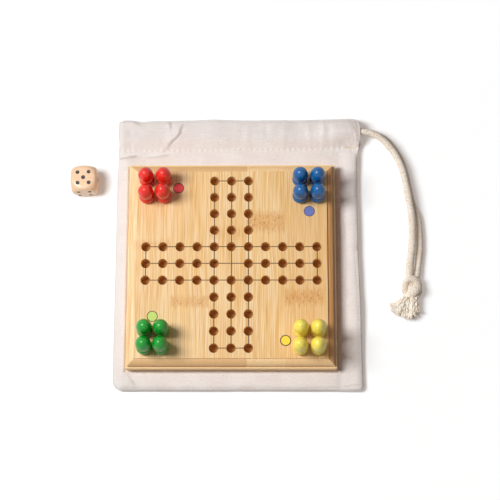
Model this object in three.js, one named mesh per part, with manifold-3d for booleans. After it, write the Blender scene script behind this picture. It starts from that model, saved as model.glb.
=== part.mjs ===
// Travel ludo: a bamboo peg board with sixteen turned pawns, lying on its cotton drawstring bag, and a wooden die.
// Millimetres, +Z up. The origin is on the table under the middle of the board; the playing side faces up.
import * as THREE from "three";
import { mergeVertices } from "three/addons/utils/BufferGeometryUtils.js";
import Module from "manifold-3d";

// Board
const boardSide = 140;
const boardThickness = 15;
const playingFieldSide = 128.2;
const edgeStep = 0.9;
const mouldingHeight = 3.3;
const mouldingFoot = 1.5;
const ledgeWidth = 1.4;
const ledgeRadius = 0.35;
const underEdgeChamfer = 0.6;

// Peg holes and engraved lines
const holePitch = 11.45;
const holeDiameter = 6.2;
const holeDepth = 9;
const lineWidth = 0.7;
const lineDepth = 0.4;
const markerDiameter = 7.4;
const markerRingWidth = 0.6;

// Pawns
const headDiameter = 10.2;
const headTopHeight = 8;
const headLowerHeight = 8.9;
const headMiddleHeight = 14.5;
const bodyDiameter = 10.2;
const bodyHeight = 6.8;
const neckStep = 0.3;
const pegDiameter = 5.3;
const pegLength = 8;
const pegChamfer = 0.5;
const seatGap = 0.3;
const bodyFootRadius = Math.sqrt((bodyDiameter / 2) ** 2 - (bodyHeight / 2) ** 2);
const bodyHeightShares = [0.25, 0.5, 0.75];

// Die
const dieSize = 18;
const dieRoundingDiameter = 23.6;
const pipDiameter = 2.7;
const pipDepth = 0.5;
const pipSpacing = 3.8;
const dieClearance = 13.1;
const dieCentreY = 59.7;

// Cloth bag, lying flat, and its drawstring
const clothThickness = 0.75;
const bagWidth = 165.75;
const bagLength = 188.15;
const bagRightEdge = 87.15;
const bagLeftEdge = bagWidth - bagRightEdge;
const bagFarEdge = 104.9;
const bagNearEdge = bagLength - bagFarEdge;
const bagNearCornerRadius = 7;
const bagFarCornerRadius = 3;
const casingDepth = 21.9;
const casingEndSeam = 2.4;
const stitchInset = 1.7;
const bulgeHalfWidth = 6.5;
const bulgeRoom = 0.8;
const cordDiameter = 4.5;
const cordClearance = 0.3;
const lowerCordInset = 7.9;
const upperCordInset = 10.6;
const upperCordHeight = 9.4;
const knotLength = 14.2;
const knotWidth = 13;
const knotHeight = 10.4;
const knotFlatWidth = 9;
const tasselLength = 15.6;
const tasselWidth = 19;
const tasselHeight = 5;
const knotCentreX = 121;
const knotCentreY = -13.6;

// Counts, angles and working values
const pitchesToEdge = 5;
const holeSides = 12;
const pawnSides = 12;
const cordSides = 10;
const cutOverrun = 1;
const weldDistance = 0.0001;
const dieTurnDegrees = 2;
const knotTurnDegrees = -9.5;
const tasselBend = 0.27;

const holeRadius = holeDiameter / 2;
const cordRadius = cordDiameter / 2;
const boardBottom = 2 * clothThickness;
const boardTop = boardBottom + boardThickness;

const wasm = await Module();
wasm.setup();

// Solids and meshes
function solidOf(geometry) {
  const bare = geometry.clone();
  bare.deleteAttribute("normal");
  bare.deleteAttribute("uv");
  const merged = mergeVertices(bare, weldDistance);
  const vertProperties = merged.attributes.position.array;
  const triVerts = new Uint32Array(merged.index.array);
  return new wasm.Manifold(new wasm.Mesh({ numProp: 3, vertProperties, triVerts }));
}

function geometryOf(solid) {
  const mesh = solid.getMesh();
  const geometry = new THREE.BufferGeometry();
  geometry.setAttribute("position", new THREE.BufferAttribute(mesh.vertProperties, 3));
  geometry.setIndex(new THREE.BufferAttribute(mesh.triVerts, 1));
  geometry.computeVertexNormals();
  return geometry;
}

function meshOf(name, geometry, material) {
  const mesh = new THREE.Mesh(geometry, material);
  mesh.name = name;
  return mesh;
}

function finish(color, roughness) {
  return new THREE.MeshStandardMaterial({ color, roughness, metalness: 0 });
}

// Rings of points joined into one closed surface; each ring runs anticlockwise seen from the last ring.
function loft(rings) {
  const sides = rings[0].length;
  const points = rings.flat();
  const faces = [];
  for (let row = 0; row + 1 < rings.length; row++) {
    for (let i = 0; i < sides; i++) {
      const a = row * sides + i;
      const b = row * sides + ((i + 1) % sides);
      faces.push(a, b, b + sides, a, b + sides, a + sides);
    }
  }
  const last = (rings.length - 1) * sides;
  for (let i = 1; i + 1 < sides; i++) {
    faces.push(0, i + 1, i, last, last + i, last + i + 1);
  }
  const geometry = new THREE.BufferGeometry().setFromPoints(points);
  geometry.setIndex(faces);
  geometry.computeVertexNormals();
  return geometry;
}

function uprightCylinder(radius, bottom, top, sides) {
  const cylinder = new THREE.CylinderGeometry(radius, radius, top - bottom, sides);
  return cylinder.rotateX(Math.PI / 2).translate(0, 0, (top + bottom) / 2);
}

// Board: a square slab with a stepped, rounded border, drilled and engraved.
function boardProfile() {
  const field = playingFieldSide / 2;
  const side = boardSide / 2;
  const mouldingWidth = side - ledgeWidth - field;
  const ledge = boardTop - edgeStep - mouldingHeight - mouldingFoot;
  const profile = [
    [side - underEdgeChamfer, boardBottom],
    [side, boardBottom + underEdgeChamfer],
  ];
  for (let i = 0; i <= 2; i++) {
    const turn = (i * Math.PI) / 4;
    profile.push([
      side - ledgeRadius * (1 - Math.cos(turn)),
      ledge - ledgeRadius * (1 - Math.sin(turn)),
    ]);
  }
  profile.push([side - ledgeWidth, ledge]);
  for (let i = 0; i <= 6; i++) {
    const turn = (i * Math.PI) / 12;
    profile.push([
      field + mouldingWidth * Math.cos(turn),
      ledge + mouldingFoot + mouldingHeight * Math.sin(turn),
    ]);
  }
  profile.push([field, boardTop]);
  return profile;
}

function boardBlank() {
  const corners = [[-1, -1], [1, -1], [1, 1], [-1, 1]];
  const rings = boardProfile().map(([half, z]) =>
    corners.map(([sx, sy]) => new THREE.Vector3(sx * half, sy * half, z)),
  );
  return solidOf(loft(rings));
}

// The cross is three holes wide; its middle has no hole, and each corner keeps a block of four home holes.
function holePlaces() {
  const places = [];
  for (let column = -pitchesToEdge; column <= pitchesToEdge; column++) {
    for (let row = -pitchesToEdge; row <= pitchesToEdge; row++) {
      const onCross = Math.abs(column) <= 1 || Math.abs(row) <= 1;
      const isMiddle = column === 0 && row === 0;
      const inHome = Math.abs(column) >= pitchesToEdge - 1 && Math.abs(row) >= pitchesToEdge - 1;
      if ((onCross && !isMiddle) || inHome) {
        places.push([column * holePitch, row * holePitch]);
      }
    }
  }
  return places;
}

function engravedLine(x0, y0, x1, y1) {
  const width = Math.abs(x1 - x0) + lineWidth;
  const height = Math.abs(y1 - y0) + lineWidth;
  const depth = lineDepth + cutOverrun;
  const line = new THREE.BoxGeometry(width, height, depth);
  return line.translate((x0 + x1) / 2, (y0 + y1) / 2, boardTop - lineDepth + depth / 2);
}

function engravedLines() {
  const end = pitchesToEdge * holePitch;
  const lines = [];
  for (const step of [-1, 0, 1]) {
    const across = step * holePitch;
    lines.push(engravedLine(across, -end, across, end), engravedLine(-end, across, end, across));
  }
  for (const side of [-end, end]) {
    lines.push(engravedLine(-holePitch, side, holePitch, side));
    lines.push(engravedLine(side, -holePitch, side, holePitch));
  }
  return lines;
}

// Start markers: one beside each home block, each a quarter turn on from the last.
const markerAlongShare = 4.56;
const markerAcrossShare = 3.14;

function markerRing(quarterTurns) {
  const place = new THREE.Vector3(-markerAcrossShare * holePitch, markerAlongShare * holePitch, 0);
  place.applyAxisAngle(new THREE.Vector3(0, 0, 1), (-quarterTurns * Math.PI) / 2);
  const outer = markerDiameter / 2;
  const inner = outer - markerRingWidth;
  const top = boardTop + cutOverrun;
  const bottom = boardTop - lineDepth;
  const sides = 2 * holeSides;
  const plug = uprightCylinder(inner, bottom - cutOverrun, top + cutOverrun, sides);
  const disc = uprightCylinder(outer, bottom, top, sides);
  const ring = solidOf(disc).subtract(solidOf(plug));
  return ring.translate([place.x, place.y, 0]);
}

function makeBoard() {
  let board = boardBlank();
  for (const line of engravedLines()) board = board.subtract(solidOf(line));
  for (let turn = 0; turn < 4; turn++) board = board.subtract(markerRing(turn));
  const top = boardTop + cutOverrun;
  const drill = solidOf(uprightCylinder(holeRadius, boardTop - holeDepth, top, holeSides));
  for (const [x, y] of holePlaces()) board = board.subtract(drill.translate([x, y, 0]));
  return geometryOf(board);
}

// Pawn: an egg-shaped head on a ball cut flat below, turned in one piece with its peg.
// It is drawn with its shoulder at height zero and its peg below.
function pawnProfile() {
  const peg = pegDiameter / 2;
  const head = headDiameter / 2;
  const body = bodyDiameter / 2;
  const bodyMiddle = bodyHeight / 2;
  const profile = [
    [0, -pegLength],
    [peg - pegChamfer, -pegLength],
    [peg, pegChamfer - pegLength],
    [peg, 0],
    [bodyFootRadius, 0],
  ];
  for (const share of bodyHeightShares) {
    const z = share * bodyHeight;
    profile.push([Math.sqrt(body ** 2 - (z - bodyMiddle) ** 2), z]);
  }
  const neckTurn = Math.asin((headMiddleHeight - bodyHeight - neckStep) / headLowerHeight);
  for (let i = 0; i <= 3; i++) {
    const turn = neckTurn * (1 - i / 3);
    profile.push([head * Math.cos(turn), headMiddleHeight - headLowerHeight * Math.sin(turn)]);
  }
  for (let i = 1; i <= 4; i++) {
    const turn = (i * Math.PI) / 8;
    const radius = i < 4 ? head * Math.cos(turn) : 0;
    profile.push([radius, headMiddleHeight + headTopHeight * Math.sin(turn)]);
  }
  return profile.map(([r, z]) => new THREE.Vector2(r, z));
}

function makePawn() {
  return new THREE.LatheGeometry(pawnProfile(), pawnSides).rotateX(Math.PI / 2);
}

// Each pawn stands in its hole a little askew: columns and rows of the home, then its lean to +X and +Y in degrees.
const pawnSets = [
  {
    colour: "red",
    paint: finish(0xd8321f, 0.3),
    stands: [[-5, 5, 0.6, -0.6], [-4, 5, 1.6, -0.5], [-5, 4, 1.2, -1], [-4, 4, 0.3, 0.4]],
  },
  {
    colour: "blue",
    paint: finish(0x0a6cab, 0.3),
    stands: [[4, 5, 0.7, -0.4], [5, 5, 1.2, -0.6], [4, 4, 1.1, -0.8], [5, 4, 1.3, 0.2]],
  },
  {
    colour: "green",
    paint: finish(0x1f9a3c, 0.3),
    stands: [[-5, -4, 2.8, 0.2], [-4, -4, 1, -0.2], [-5, -5, 1.8, 1], [-4, -5, 0.3, 1]],
  },
  {
    colour: "yellow",
    paint: finish(0xf0d84a, 0.3),
    stands: [[4, -4, 0.1, 0], [5, -4, 0.1, -0.2], [4, -5, -1.5, -0.4], [5, -5, -0.4, -0.2]],
  },
];

// A leaning pawn turns about the middle of its peg and is lifted until its shoulder clears the board.
function standPawn(name, paint, [column, row, leanX, leanY]) {
  const lean = THREE.MathUtils.degToRad(Math.hypot(leanX, leanY));
  const stand = new THREE.Group();
  const pivot = boardTop - pegLength / 2;
  stand.position.set(column * holePitch, row * holePitch, pivot);
  stand.rotation.set(THREE.MathUtils.degToRad(-leanY), THREE.MathUtils.degToRad(leanX), 0);
  const pawn = meshOf(name, makePawn(), paint);
  pawn.position.z = pegLength / 2 + bodyFootRadius * Math.sin(lean) + seatGap;
  stand.add(pawn);
  return stand;
}

// Die: a cube rounded by a sphere, with opposite faces adding up to seven.
const pipFaces = [
  { pips: [[0, 0]], turn: [0, Math.PI / 2, 0] },
  { pips: [[-1, -1], [1, 1]], turn: [Math.PI, 0, 0] },
  { pips: [[-1, -1], [0, 0], [1, 1]], turn: [-Math.PI / 2, 0, 0] },
  { pips: [[-1, -1], [1, -1], [-1, 1], [1, 1]], turn: [Math.PI / 2, 0, 0] },
  { pips: [[-1, -1], [1, -1], [0, 0], [-1, 1], [1, 1]], turn: [0, 0, 0] },
  {
    pips: [[-1, -1], [1, -1], [-1, 0], [1, 0], [-1, 1], [1, 1]],
    turn: [0, -Math.PI / 2, 0],
  },
];

function makeDie() {
  const half = dieSize / 2;
  const ball = new THREE.SphereGeometry(dieRoundingDiameter / 2, 24, 16);
  let die = solidOf(new THREE.BoxGeometry(dieSize, dieSize, dieSize)).intersect(solidOf(ball));
  for (const { pips, turn } of pipFaces) {
    for (const [column, row] of pips) {
      const pip = uprightCylinder(pipDiameter / 2, half - pipDepth, half + cutOverrun, 8);
      pip.translate(column * pipSpacing, row * pipSpacing, 0);
      pip.applyMatrix4(new THREE.Matrix4().makeRotationFromEuler(new THREE.Euler(...turn)));
      die = die.subtract(solidOf(pip));
    }
  }
  return geometryOf(die);
}

// Cloth bag: two panels, one on the other, each with its far edge folded over into a casing round the cord.
const cavityRadius = cordRadius + cordClearance;
const lowerCordY = bagFarEdge - lowerCordInset;
const lowerCordZ = clothThickness + cavityRadius;
const upperCordY = bagFarEdge - upperCordInset;
const casingEdgeY = bagFarEdge - casingDepth;
const outlineSteps = 14;

// A smooth hump, one high, round a line that runs along the casing.
function hump(y, middle, halfWidth) {
  const share = Math.min(1, Math.abs(y - middle) / halfWidth);
  return (1 + Math.cos(Math.PI * share)) / 2;
}

function lowerTop(y) {
  return 2 * clothThickness + 2 * cavityRadius * hump(y, lowerCordY, bulgeHalfWidth);
}

// The upper panel lies flat on the lower one and passes over its bulge with a little room.
function upperUnderside(y) {
  const rise = 2 * cavityRadius + cordClearance;
  return 2 * clothThickness + rise * hump(y, lowerCordY, bulgeHalfWidth + bulgeRoom);
}

// Its outer layer climbs from the stitches to the top of the upper cord, then falls to the fold.
function upperTop(y) {
  const doubled = upperUnderside(y) + 2 * clothThickness;
  const flat = 4 * clothThickness;
  const crown = upperCordHeight + cavityRadius + clothThickness;
  const foot = y < upperCordY ? casingEdgeY + stitchInset : bagFarEdge;
  const share = Math.max(0, (foot - y) / (foot - upperCordY));
  return Math.max(doubled, flat + (crown - flat) * Math.sin((share * Math.PI) / 2));
}

function samples(curve, from, to) {
  return Array.from({ length: outlineSteps + 1 }, (_, i) => {
    const y = from + ((to - from) * i) / outlineSteps;
    return [y, curve(y)];
  });
}

function lowerPanelOutline() {
  return [
    [-bagNearEdge, 0],
    [bagFarEdge, 0],
    ...samples(lowerTop, bagFarEdge, casingEdgeY),
    [casingEdgeY, clothThickness],
    [-bagNearEdge, clothThickness],
  ];
}

function upperPanelOutline() {
  return [
    [-bagNearEdge, clothThickness],
    [casingEdgeY - 2 * clothThickness, clothThickness],
    ...samples(upperUnderside, casingEdgeY - cordClearance, bagFarEdge),
    ...samples(upperTop, bagFarEdge, casingEdgeY),
    [casingEdgeY - clothThickness, 2 * clothThickness],
    [-bagNearEdge, 2 * clothThickness],
  ];
}

// Turns an outline drawn as [y, z] points into a bar across the whole bag.
function barAcross(outline) {
  const shape = new THREE.Shape(outline.map(([y, z]) => new THREE.Vector2(y, z)));
  const depth = bagLeftEdge + bagRightEdge;
  const bar = new THREE.ExtrudeGeometry(shape, { depth, bevelEnabled: false });
  const toBag = new THREE.Matrix4().makeBasis(
    new THREE.Vector3(0, 1, 0),
    new THREE.Vector3(0, 0, 1),
    new THREE.Vector3(1, 0, 0),
  );
  return solidOf(bar.applyMatrix4(toBag).translate(-bagLeftEdge, 0, 0));
}

// An upright block with the bag's rounded corners, seen from above.
function bagBlock() {
  const near = bagNearCornerRadius;
  const far = bagFarCornerRadius;
  const shape = new THREE.Shape();
  shape.absarc(near - bagLeftEdge, near - bagNearEdge, near, Math.PI, 1.5 * Math.PI);
  shape.absarc(bagRightEdge - near, near - bagNearEdge, near, 1.5 * Math.PI, 2 * Math.PI);
  shape.absarc(bagRightEdge - far, bagFarEdge - far, far, 0, Math.PI / 2);
  shape.absarc(far - bagLeftEdge, bagFarEdge - far, far, Math.PI / 2, Math.PI);
  const depth = 2 * (upperCordHeight + cutOverrun);
  const block = new THREE.ExtrudeGeometry(shape, { depth, bevelEnabled: false, curveSegments: 5 });
  return solidOf(block.translate(0, 0, -cutOverrun));
}

// A ring of points round a place on a path, square to its direction.
function ringRound(centre, along, across, radius) {
  const up = new THREE.Vector3().crossVectors(along, across).normalize();
  return Array.from({ length: cordSides }, (_, i) => {
    const turn = (i * 2 * Math.PI) / cordSides;
    return centre
      .clone()
      .addScaledVector(across, radius * Math.cos(turn))
      .addScaledVector(up, radius * Math.sin(turn));
  });
}

// The cord enters the upper casing at the right, turns down at the left seam and comes back in the lower one.
function casedCord(radius, outerX) {
  const upper = new THREE.Vector3(0, upperCordY, upperCordHeight);
  const lower = new THREE.Vector3(0, lowerCordY, lowerCordZ);
  const middle = upper.clone().add(lower).divideScalar(2);
  const bend = upper.distanceTo(lower) / 2;
  const toUpper = upper.clone().sub(middle).normalize();
  const outward = new THREE.Vector3(-1, 0, 0);
  const across = new THREE.Vector3().crossVectors(outward, toUpper);
  const turnX = casingEndSeam + bend + cavityRadius - bagLeftEdge;
  const rings = [ringRound(upper.setX(outerX), outward, across, radius)];
  for (let i = 0; i <= 8; i++) {
    const turn = (i * Math.PI) / 8;
    const centre = middle
      .clone()
      .setX(turnX)
      .addScaledVector(toUpper, bend * Math.cos(turn))
      .addScaledVector(outward, bend * Math.sin(turn));
    const along = new THREE.Vector3()
      .addScaledVector(toUpper, -Math.sin(turn))
      .addScaledVector(outward, Math.cos(turn));
    rings.push(ringRound(centre, along, across, radius));
  }
  rings.push(ringRound(lower.setX(outerX), outward.clone().negate(), across, radius));
  return loft(rings);
}

function makePanel(outline) {
  const bore = solidOf(casedCord(cavityRadius, bagRightEdge + cutOverrun));
  return geometryOf(barAcross(outline).intersect(bagBlock()).subtract(bore));
}

// The free strands, from the casing's right end to the knot. The upper one lies on the lower one at first,
// then spans beside it to the top of the knot.
const upperStrandRoute = [
  [87.45, 94.3, 9.4],
  [90.2, 94.3, 9.4],
  [94.2, 93.8, 9.2],
  [98.6, 92.2, 8.8],
  [103.1, 89.2, 8.2],
  [107, 85.2, 7.6],
  [112, 78.1, 7],
  [115.2, 71.2, 7],
  [117.3, 63.9, 7],
  [119.2, 53.6, 7],
  [120.2, 46.8, 7],
  [121.3, 39.8, 7],
  [122, 32.9, 7],
  [122.1, 25.2, 7],
  [121.9, 17.6, 6.9],
  [121.1, 10, 6.7],
  [120.1, 3.1, 6.4],
  [119.3, -5.8, 6],
];
const lowerStrandRoute = [
  [87.45, 97, 3.3],
  [90.4, 96.9, 3.2],
  [94.6, 96.1, 2.7],
  [99.6, 94.3, 2.45],
  [104.9, 91.2, 2.4],
  [109.2, 86.6, 2.4],
  [113.8, 79.6, 2.4],
  [116.8, 72.5, 2.4],
  [118.8, 65.2, 2.4],
  [120.8, 54.9, 2.4],
  [121.9, 48, 2.4],
  [123.9, 41.6, 2.4],
  [126, 35.5, 2.4],
  [126.9, 27.8, 2.4],
  [127.1, 19.4, 2.4],
  [126.8, 11, 2.4],
  [126.1, 4, 2.5],
  [124.3, -6.6, 3.4],
];

const strandStepShare = 1.4;

function makeStrand(route) {
  const path = new THREE.CatmullRomCurve3(route.map((point) => new THREE.Vector3(...point)));
  const corners = Array.from({ length: cordSides }, (_, i) => {
    const turn = (i * 2 * Math.PI) / cordSides;
    return new THREE.Vector2(cordRadius * Math.cos(turn), cordRadius * Math.sin(turn));
  });
  const section = new THREE.Shape(corners);
  const steps = Math.round(path.getLength() / (strandStepShare * cordDiameter));
  return new THREE.ExtrudeGeometry(section, { steps, extrudePath: path, bevelEnabled: false });
}

// The knot is a flattened ball cut flat where the strands enter it and where the tassel leaves.
function makeKnot() {
  const fullLength = knotLength / Math.sqrt(1 - (knotFlatWidth / knotWidth) ** 2);
  const ball = new THREE.SphereGeometry(0.5, 20, 12).scale(knotWidth, fullLength, knotHeight);
  const slab = new THREE.BoxGeometry(2 * knotWidth, knotLength, 2 * knotHeight);
  return geometryOf(solidOf(ball).intersect(solidOf(slab)));
}

// The frayed end spreads and flattens away from the knot; it is drawn from the origin along -Y.
const tasselShares = [0, 0.35, 0.75, 1];

function makeTassel() {
  const end = new THREE.Vector2(-tasselLength * Math.sin(tasselBend), -tasselLength);
  const rings = tasselShares.map((share) => {
    const x = end.x * share ** 2;
    const y = end.y * share;
    const halfWidth = (knotFlatWidth + (tasselWidth - knotFlatWidth) * share) / 2;
    const startHeight = knotHeight * (knotFlatWidth / knotWidth);
    const halfHeight = (startHeight + (tasselHeight - startHeight) * share) / 2;
    return Array.from({ length: holeSides }, (_, i) => {
      const turn = (i * 2 * Math.PI) / holeSides;
      return new THREE.Vector3(
        x + halfWidth * Math.cos(turn),
        y,
        halfHeight * (1 + Math.sin(turn)),
      );
    });
  });
  return loft(rings);
}

// Assembly
const bamboo = finish(0xe0b981, 0.55);
const pale = finish(0xe8c795, 0.5);
const cotton = finish(0xe9dfd6, 0.95);
const cordCotton = finish(0xe6d8c6, 0.95);

const ludo = new THREE.Group();

const bag = new THREE.Group();
bag.add(meshOf("bag_back_panel", makePanel(lowerPanelOutline()), cotton));
bag.add(meshOf("bag_front_panel", makePanel(upperPanelOutline()), cotton));
bag.add(meshOf("drawstring_in_casing", casedCord(cordRadius, bagRightEdge), cordCotton));
bag.add(meshOf("drawstring_upper_strand", makeStrand(upperStrandRoute), cordCotton));
bag.add(meshOf("drawstring_lower_strand", makeStrand(lowerStrandRoute), cordCotton));
ludo.add(bag);

const cordEnd = new THREE.Group();
cordEnd.position.set(knotCentreX, knotCentreY, 0);
cordEnd.rotation.z = THREE.MathUtils.degToRad(knotTurnDegrees);
const knot = meshOf("drawstring_knot", makeKnot(), cordCotton);
knot.position.z = knotHeight / 2;
const tassel = meshOf("drawstring_tassel", makeTassel(), cordCotton);
tassel.position.y = -knotLength / 2 - cordClearance;
cordEnd.add(knot, tassel);
bag.add(cordEnd);

const boardGroup = new THREE.Group();
boardGroup.add(meshOf("board", makeBoard(), bamboo));
for (const { colour, paint, stands } of pawnSets) {
  stands.forEach((stand, i) => boardGroup.add(standPawn(`${colour}_pawn_${i + 1}`, paint, stand)));
}
ludo.add(boardGroup);

const die = meshOf("die", makeDie(), pale);
// The die lies on the table to the left, clear of the bag and of the board.
const setLeftEdge = Math.max(bagLeftEdge, boardSide / 2);
die.position.set(-setLeftEdge - dieClearance - dieSize / 2, dieCentreY, dieSize / 2);
die.rotation.z = THREE.MathUtils.degToRad(dieTurnDegrees);
ludo.add(die);

export default ludo;
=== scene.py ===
from math import cos, hypot, pi, radians, sin, sqrt

import bmesh
import bpy
import numpy as np
from mathutils import Matrix, Vector


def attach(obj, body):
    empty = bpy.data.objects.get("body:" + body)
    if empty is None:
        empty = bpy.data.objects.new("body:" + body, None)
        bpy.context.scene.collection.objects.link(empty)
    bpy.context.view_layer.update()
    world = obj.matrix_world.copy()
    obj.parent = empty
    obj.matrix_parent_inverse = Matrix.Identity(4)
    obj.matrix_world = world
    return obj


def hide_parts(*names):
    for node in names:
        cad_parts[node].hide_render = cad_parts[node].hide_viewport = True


# Travel ludo: a bamboo peg board with its pawns on a cotton drawstring bag, and a die.
# Every length in the dictionaries is in millimetres unless its name says otherwise.
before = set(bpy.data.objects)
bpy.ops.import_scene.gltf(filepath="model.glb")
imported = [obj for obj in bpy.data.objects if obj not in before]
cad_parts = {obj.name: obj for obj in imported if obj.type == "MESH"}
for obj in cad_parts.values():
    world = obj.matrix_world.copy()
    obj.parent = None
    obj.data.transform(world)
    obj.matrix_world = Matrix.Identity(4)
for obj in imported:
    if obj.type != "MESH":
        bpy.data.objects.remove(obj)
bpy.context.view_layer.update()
mm = 0.001


def wireMaths(operation, swapped=False):
    # A method that adds one Math node.
    def added(self, *others):
        terms = (self, *others)
        return self.tree.node("ShaderNodeMath", {"operation": operation}, terms[::-1] if swapped else terms)

    return added


class Wire:
    # One output of a node. Used in a sum, it adds the Math nodes for it.
    def __init__(self, tree, socket):
        self.tree = tree
        self.socket = socket

    __add__ = __radd__ = wireMaths("ADD")
    __sub__ = wireMaths("SUBTRACT")
    __rsub__ = wireMaths("SUBTRACT", swapped=True)
    __mul__ = __rmul__ = wireMaths("MULTIPLY")
    __truediv__ = wireMaths("DIVIDE")
    __pow__ = wireMaths("POWER")
    size = wireMaths("ABSOLUTE")
    floor = wireMaths("FLOOR")
    sine = wireMaths("SINE")
    over = wireMaths("GREATER_THAN")
    under = wireMaths("LESS_THAN")
    least = wireMaths("MINIMUM")
    most = wireMaths("MAXIMUM")

    def ease(self, low, high):  # 0 up to low, 1 from high, smooth between
        settings = {"interpolation_type": "SMOOTHSTEP"}
        return self.tree.node("ShaderNodeMapRange", settings, {0: self, 1: low, 2: high, 3: 0, 4: 1})

    def split(self):
        parts = self.tree.shader("SeparateXYZ", [self])
        return [Wire(self.tree, s) for s in parts.socket.node.outputs]


class Tree:
    # Makes the nodes of a material or of a Geometry Nodes group.
    def __init__(self, group):
        self.group = group

    def node(self, kind, settings=None, values=(), out=0):
        made = self.group.nodes.new(kind)
        for key, value in (settings or {}).items():
            if key == "stops":
                self.setStops(made.color_ramp, value)
            else:
                setattr(made, key, value)
        for key, value in values.items() if isinstance(values, dict) else enumerate(values):
            for item in value if isinstance(value, list) else [value]:
                if isinstance(item, Wire):
                    self.group.links.new(item.socket, made.inputs[key])
                elif item is not None:
                    made.inputs[key].default_value = item
        return Wire(self, made.outputs[out]) if made.outputs else None

    def setStops(self, ramp, stops):
        while len(ramp.elements) < len(stops):
            ramp.elements.new(0.5)
        for element, (place, colour) in zip(ramp.elements, stops):
            element.position = place
            element.color = (*colour, 1)

    def geometry(self, kind, values):
        return self.node("GeometryNode" + kind, {}, values)

    def shader(self, kind, values):
        return self.node("ShaderNode" + kind, {}, values)

    def vector(self, operation, *terms):
        return self.node("ShaderNodeVectorMath", {"operation": operation}, terms)

    def blend(self, share, first, second, mode="MIX"):
        settings = {"data_type": "RGBA", "blend_type": mode}
        return self.node("ShaderNodeMix", settings, {0: share, 6: wide(first), 7: wide(second)}, 2)

    def coats(self, colour, *layers):
        # Layers of a share and a screen colour, one over another
        for share, *colours in layers:
            colour = self.blend(share, colour, shade(*colours))
        return colour

    def stretched(self, place, scale):
        return self.vector("MULTIPLY", place, scale if isinstance(scale, tuple) else (scale,) * 3)

    def join(self, x, y, z):
        return self.shader("CombineXYZ", [x, y, z])

    def noise(self, place, scale, detail=2, roughness=0.5):
        values = {"Vector": self.stretched(place, scale), "Scale": 1, "Detail": detail}
        values["Roughness"] = roughness
        return self.shader("TexNoise", values)

    def cells(self, place, scale):
        return self.shader("TexVoronoi", {"Vector": self.stretched(place, scale), "Scale": 1})

    def random(self, number):
        return self.node("ShaderNodeTexWhiteNoise", {"noise_dimensions": "1D"}, {"W": number})


def wide(colour):
    return colour if isinstance(colour, Wire) else (*colour, 1)


def shade(red, green, blue):  # a colour as it looks on screen, 0 to 255, to the shader's own scale
    parts = [value / 255 for value in (red, green, blue)]
    return tuple(p / 12.92 if p <= 0.04045 else ((p + 0.055) / 1.055) ** 2.4 for p in parts)


def newMaterial(name):
    material = bpy.data.materials.new(name)
    material.use_nodes = True
    material.node_tree.nodes.clear()
    tree = Tree(material.node_tree)
    tree.material = material
    return tree


def finishMaterial(tree, colour, roughness, height=None, bumpDistance=0.1, **fixed):
    values = {"Base Color": wide(colour), "Roughness": roughness}
    if height is not None:
        bump = {"Strength": 1, "Distance": bumpDistance * mm, "Height": height}
        values["Normal"] = tree.shader("Bump", bump)
    values.update({key.replace("_", " "): value for key, value in fixed.items()})
    surface = tree.shader("BsdfPrincipled", values)
    tree.shader("OutputMaterial", {"Surface": surface})
    return tree.material


def objectPlace(tree):  # Object coordinates in millimetres
    place = tree.node("ShaderNodeTexCoord", {}, (), "Object")
    return tree.stretched(place, 1000)


def addMesh(name, points, faces, smoothAngle=None):
    mesh = bpy.data.meshes.new(name)
    mesh.from_pydata([tuple(p) for p in np.asarray(points, float) * mm], [], faces)
    mesh.validate()
    return addObject(name, mesh, smoothAngle)


def addObject(name, mesh, smoothAngle=None):
    made = bpy.data.objects.new(name, mesh)
    bpy.context.scene.collection.objects.link(made)
    if smoothAngle is not None:
        mesh.shade_smooth()
        mesh.set_sharp_from_angle(angle=radians(smoothAngle))
    return made


def addAttribute(mesh, name, values):
    mesh.attributes.new(name, "FLOAT", "POINT").data.foreach_set("value", np.asarray(values, np.float32))


def applyModifiers(piece):
    bpy.context.view_layer.update()
    evaluated = piece.evaluated_get(bpy.context.evaluated_depsgraph_get())
    made = bpy.data.meshes.new_from_object(evaluated)
    piece.modifiers.clear()
    old = piece.data
    piece.data = made
    bpy.data.meshes.remove(old)
    return piece


socketKinds = {float: "NodeSocketFloat", int: "NodeSocketInt", bpy.types.Material: "NodeSocketMaterial"}
nodeGroups = {}


def nodeGroup(name, build, values):
    # A Geometry Nodes group with one named input for each value.
    group = bpy.data.node_groups.new(name, "GeometryNodeTree")
    for way in ("INPUT", "OUTPUT"):
        group.interface.new_socket("Geometry", in_out=way, socket_type="NodeSocketGeometry")
    identifiers = {}
    for label, value in values.items():
        kind = next(socket for base, socket in socketKinds.items() if isinstance(value, base))
        identifiers[label] = group.interface.new_socket(label, in_out="INPUT", socket_type=kind).identifier
    tree = Tree(group)
    given = {s.name: Wire(tree, s) for s in group.nodes.new("NodeGroupInput").outputs if s.name}
    tree.node("NodeGroupOutput", {}, [build(tree, given)])
    return group, identifiers


def runGroup(piece, name, build, values):
    if name not in nodeGroups:
        nodeGroups[name] = nodeGroup(name, build, values)
    modifier = piece.modifiers.new(name, "NODES")
    modifier.node_group, identifiers = nodeGroups[name]
    for label, value in values.items():
        modifier[identifiers[label]] = value
    return applyModifiers(piece)


def ringFaces(rings, count):
    # Four-sided faces between rings of points that follow one another.
    faces = []
    for r in range(rings - 1):
        for i in range(count):
            j = (i + 1) % count
            faces.append((r * count + i, r * count + j, (r + 1) * count + j, (r + 1) * count + i))
    return faces


def dress(piece, body, slot, *nodes):
    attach(piece, body)
    if nodes:
        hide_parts(*nodes)
    return piece


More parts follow.
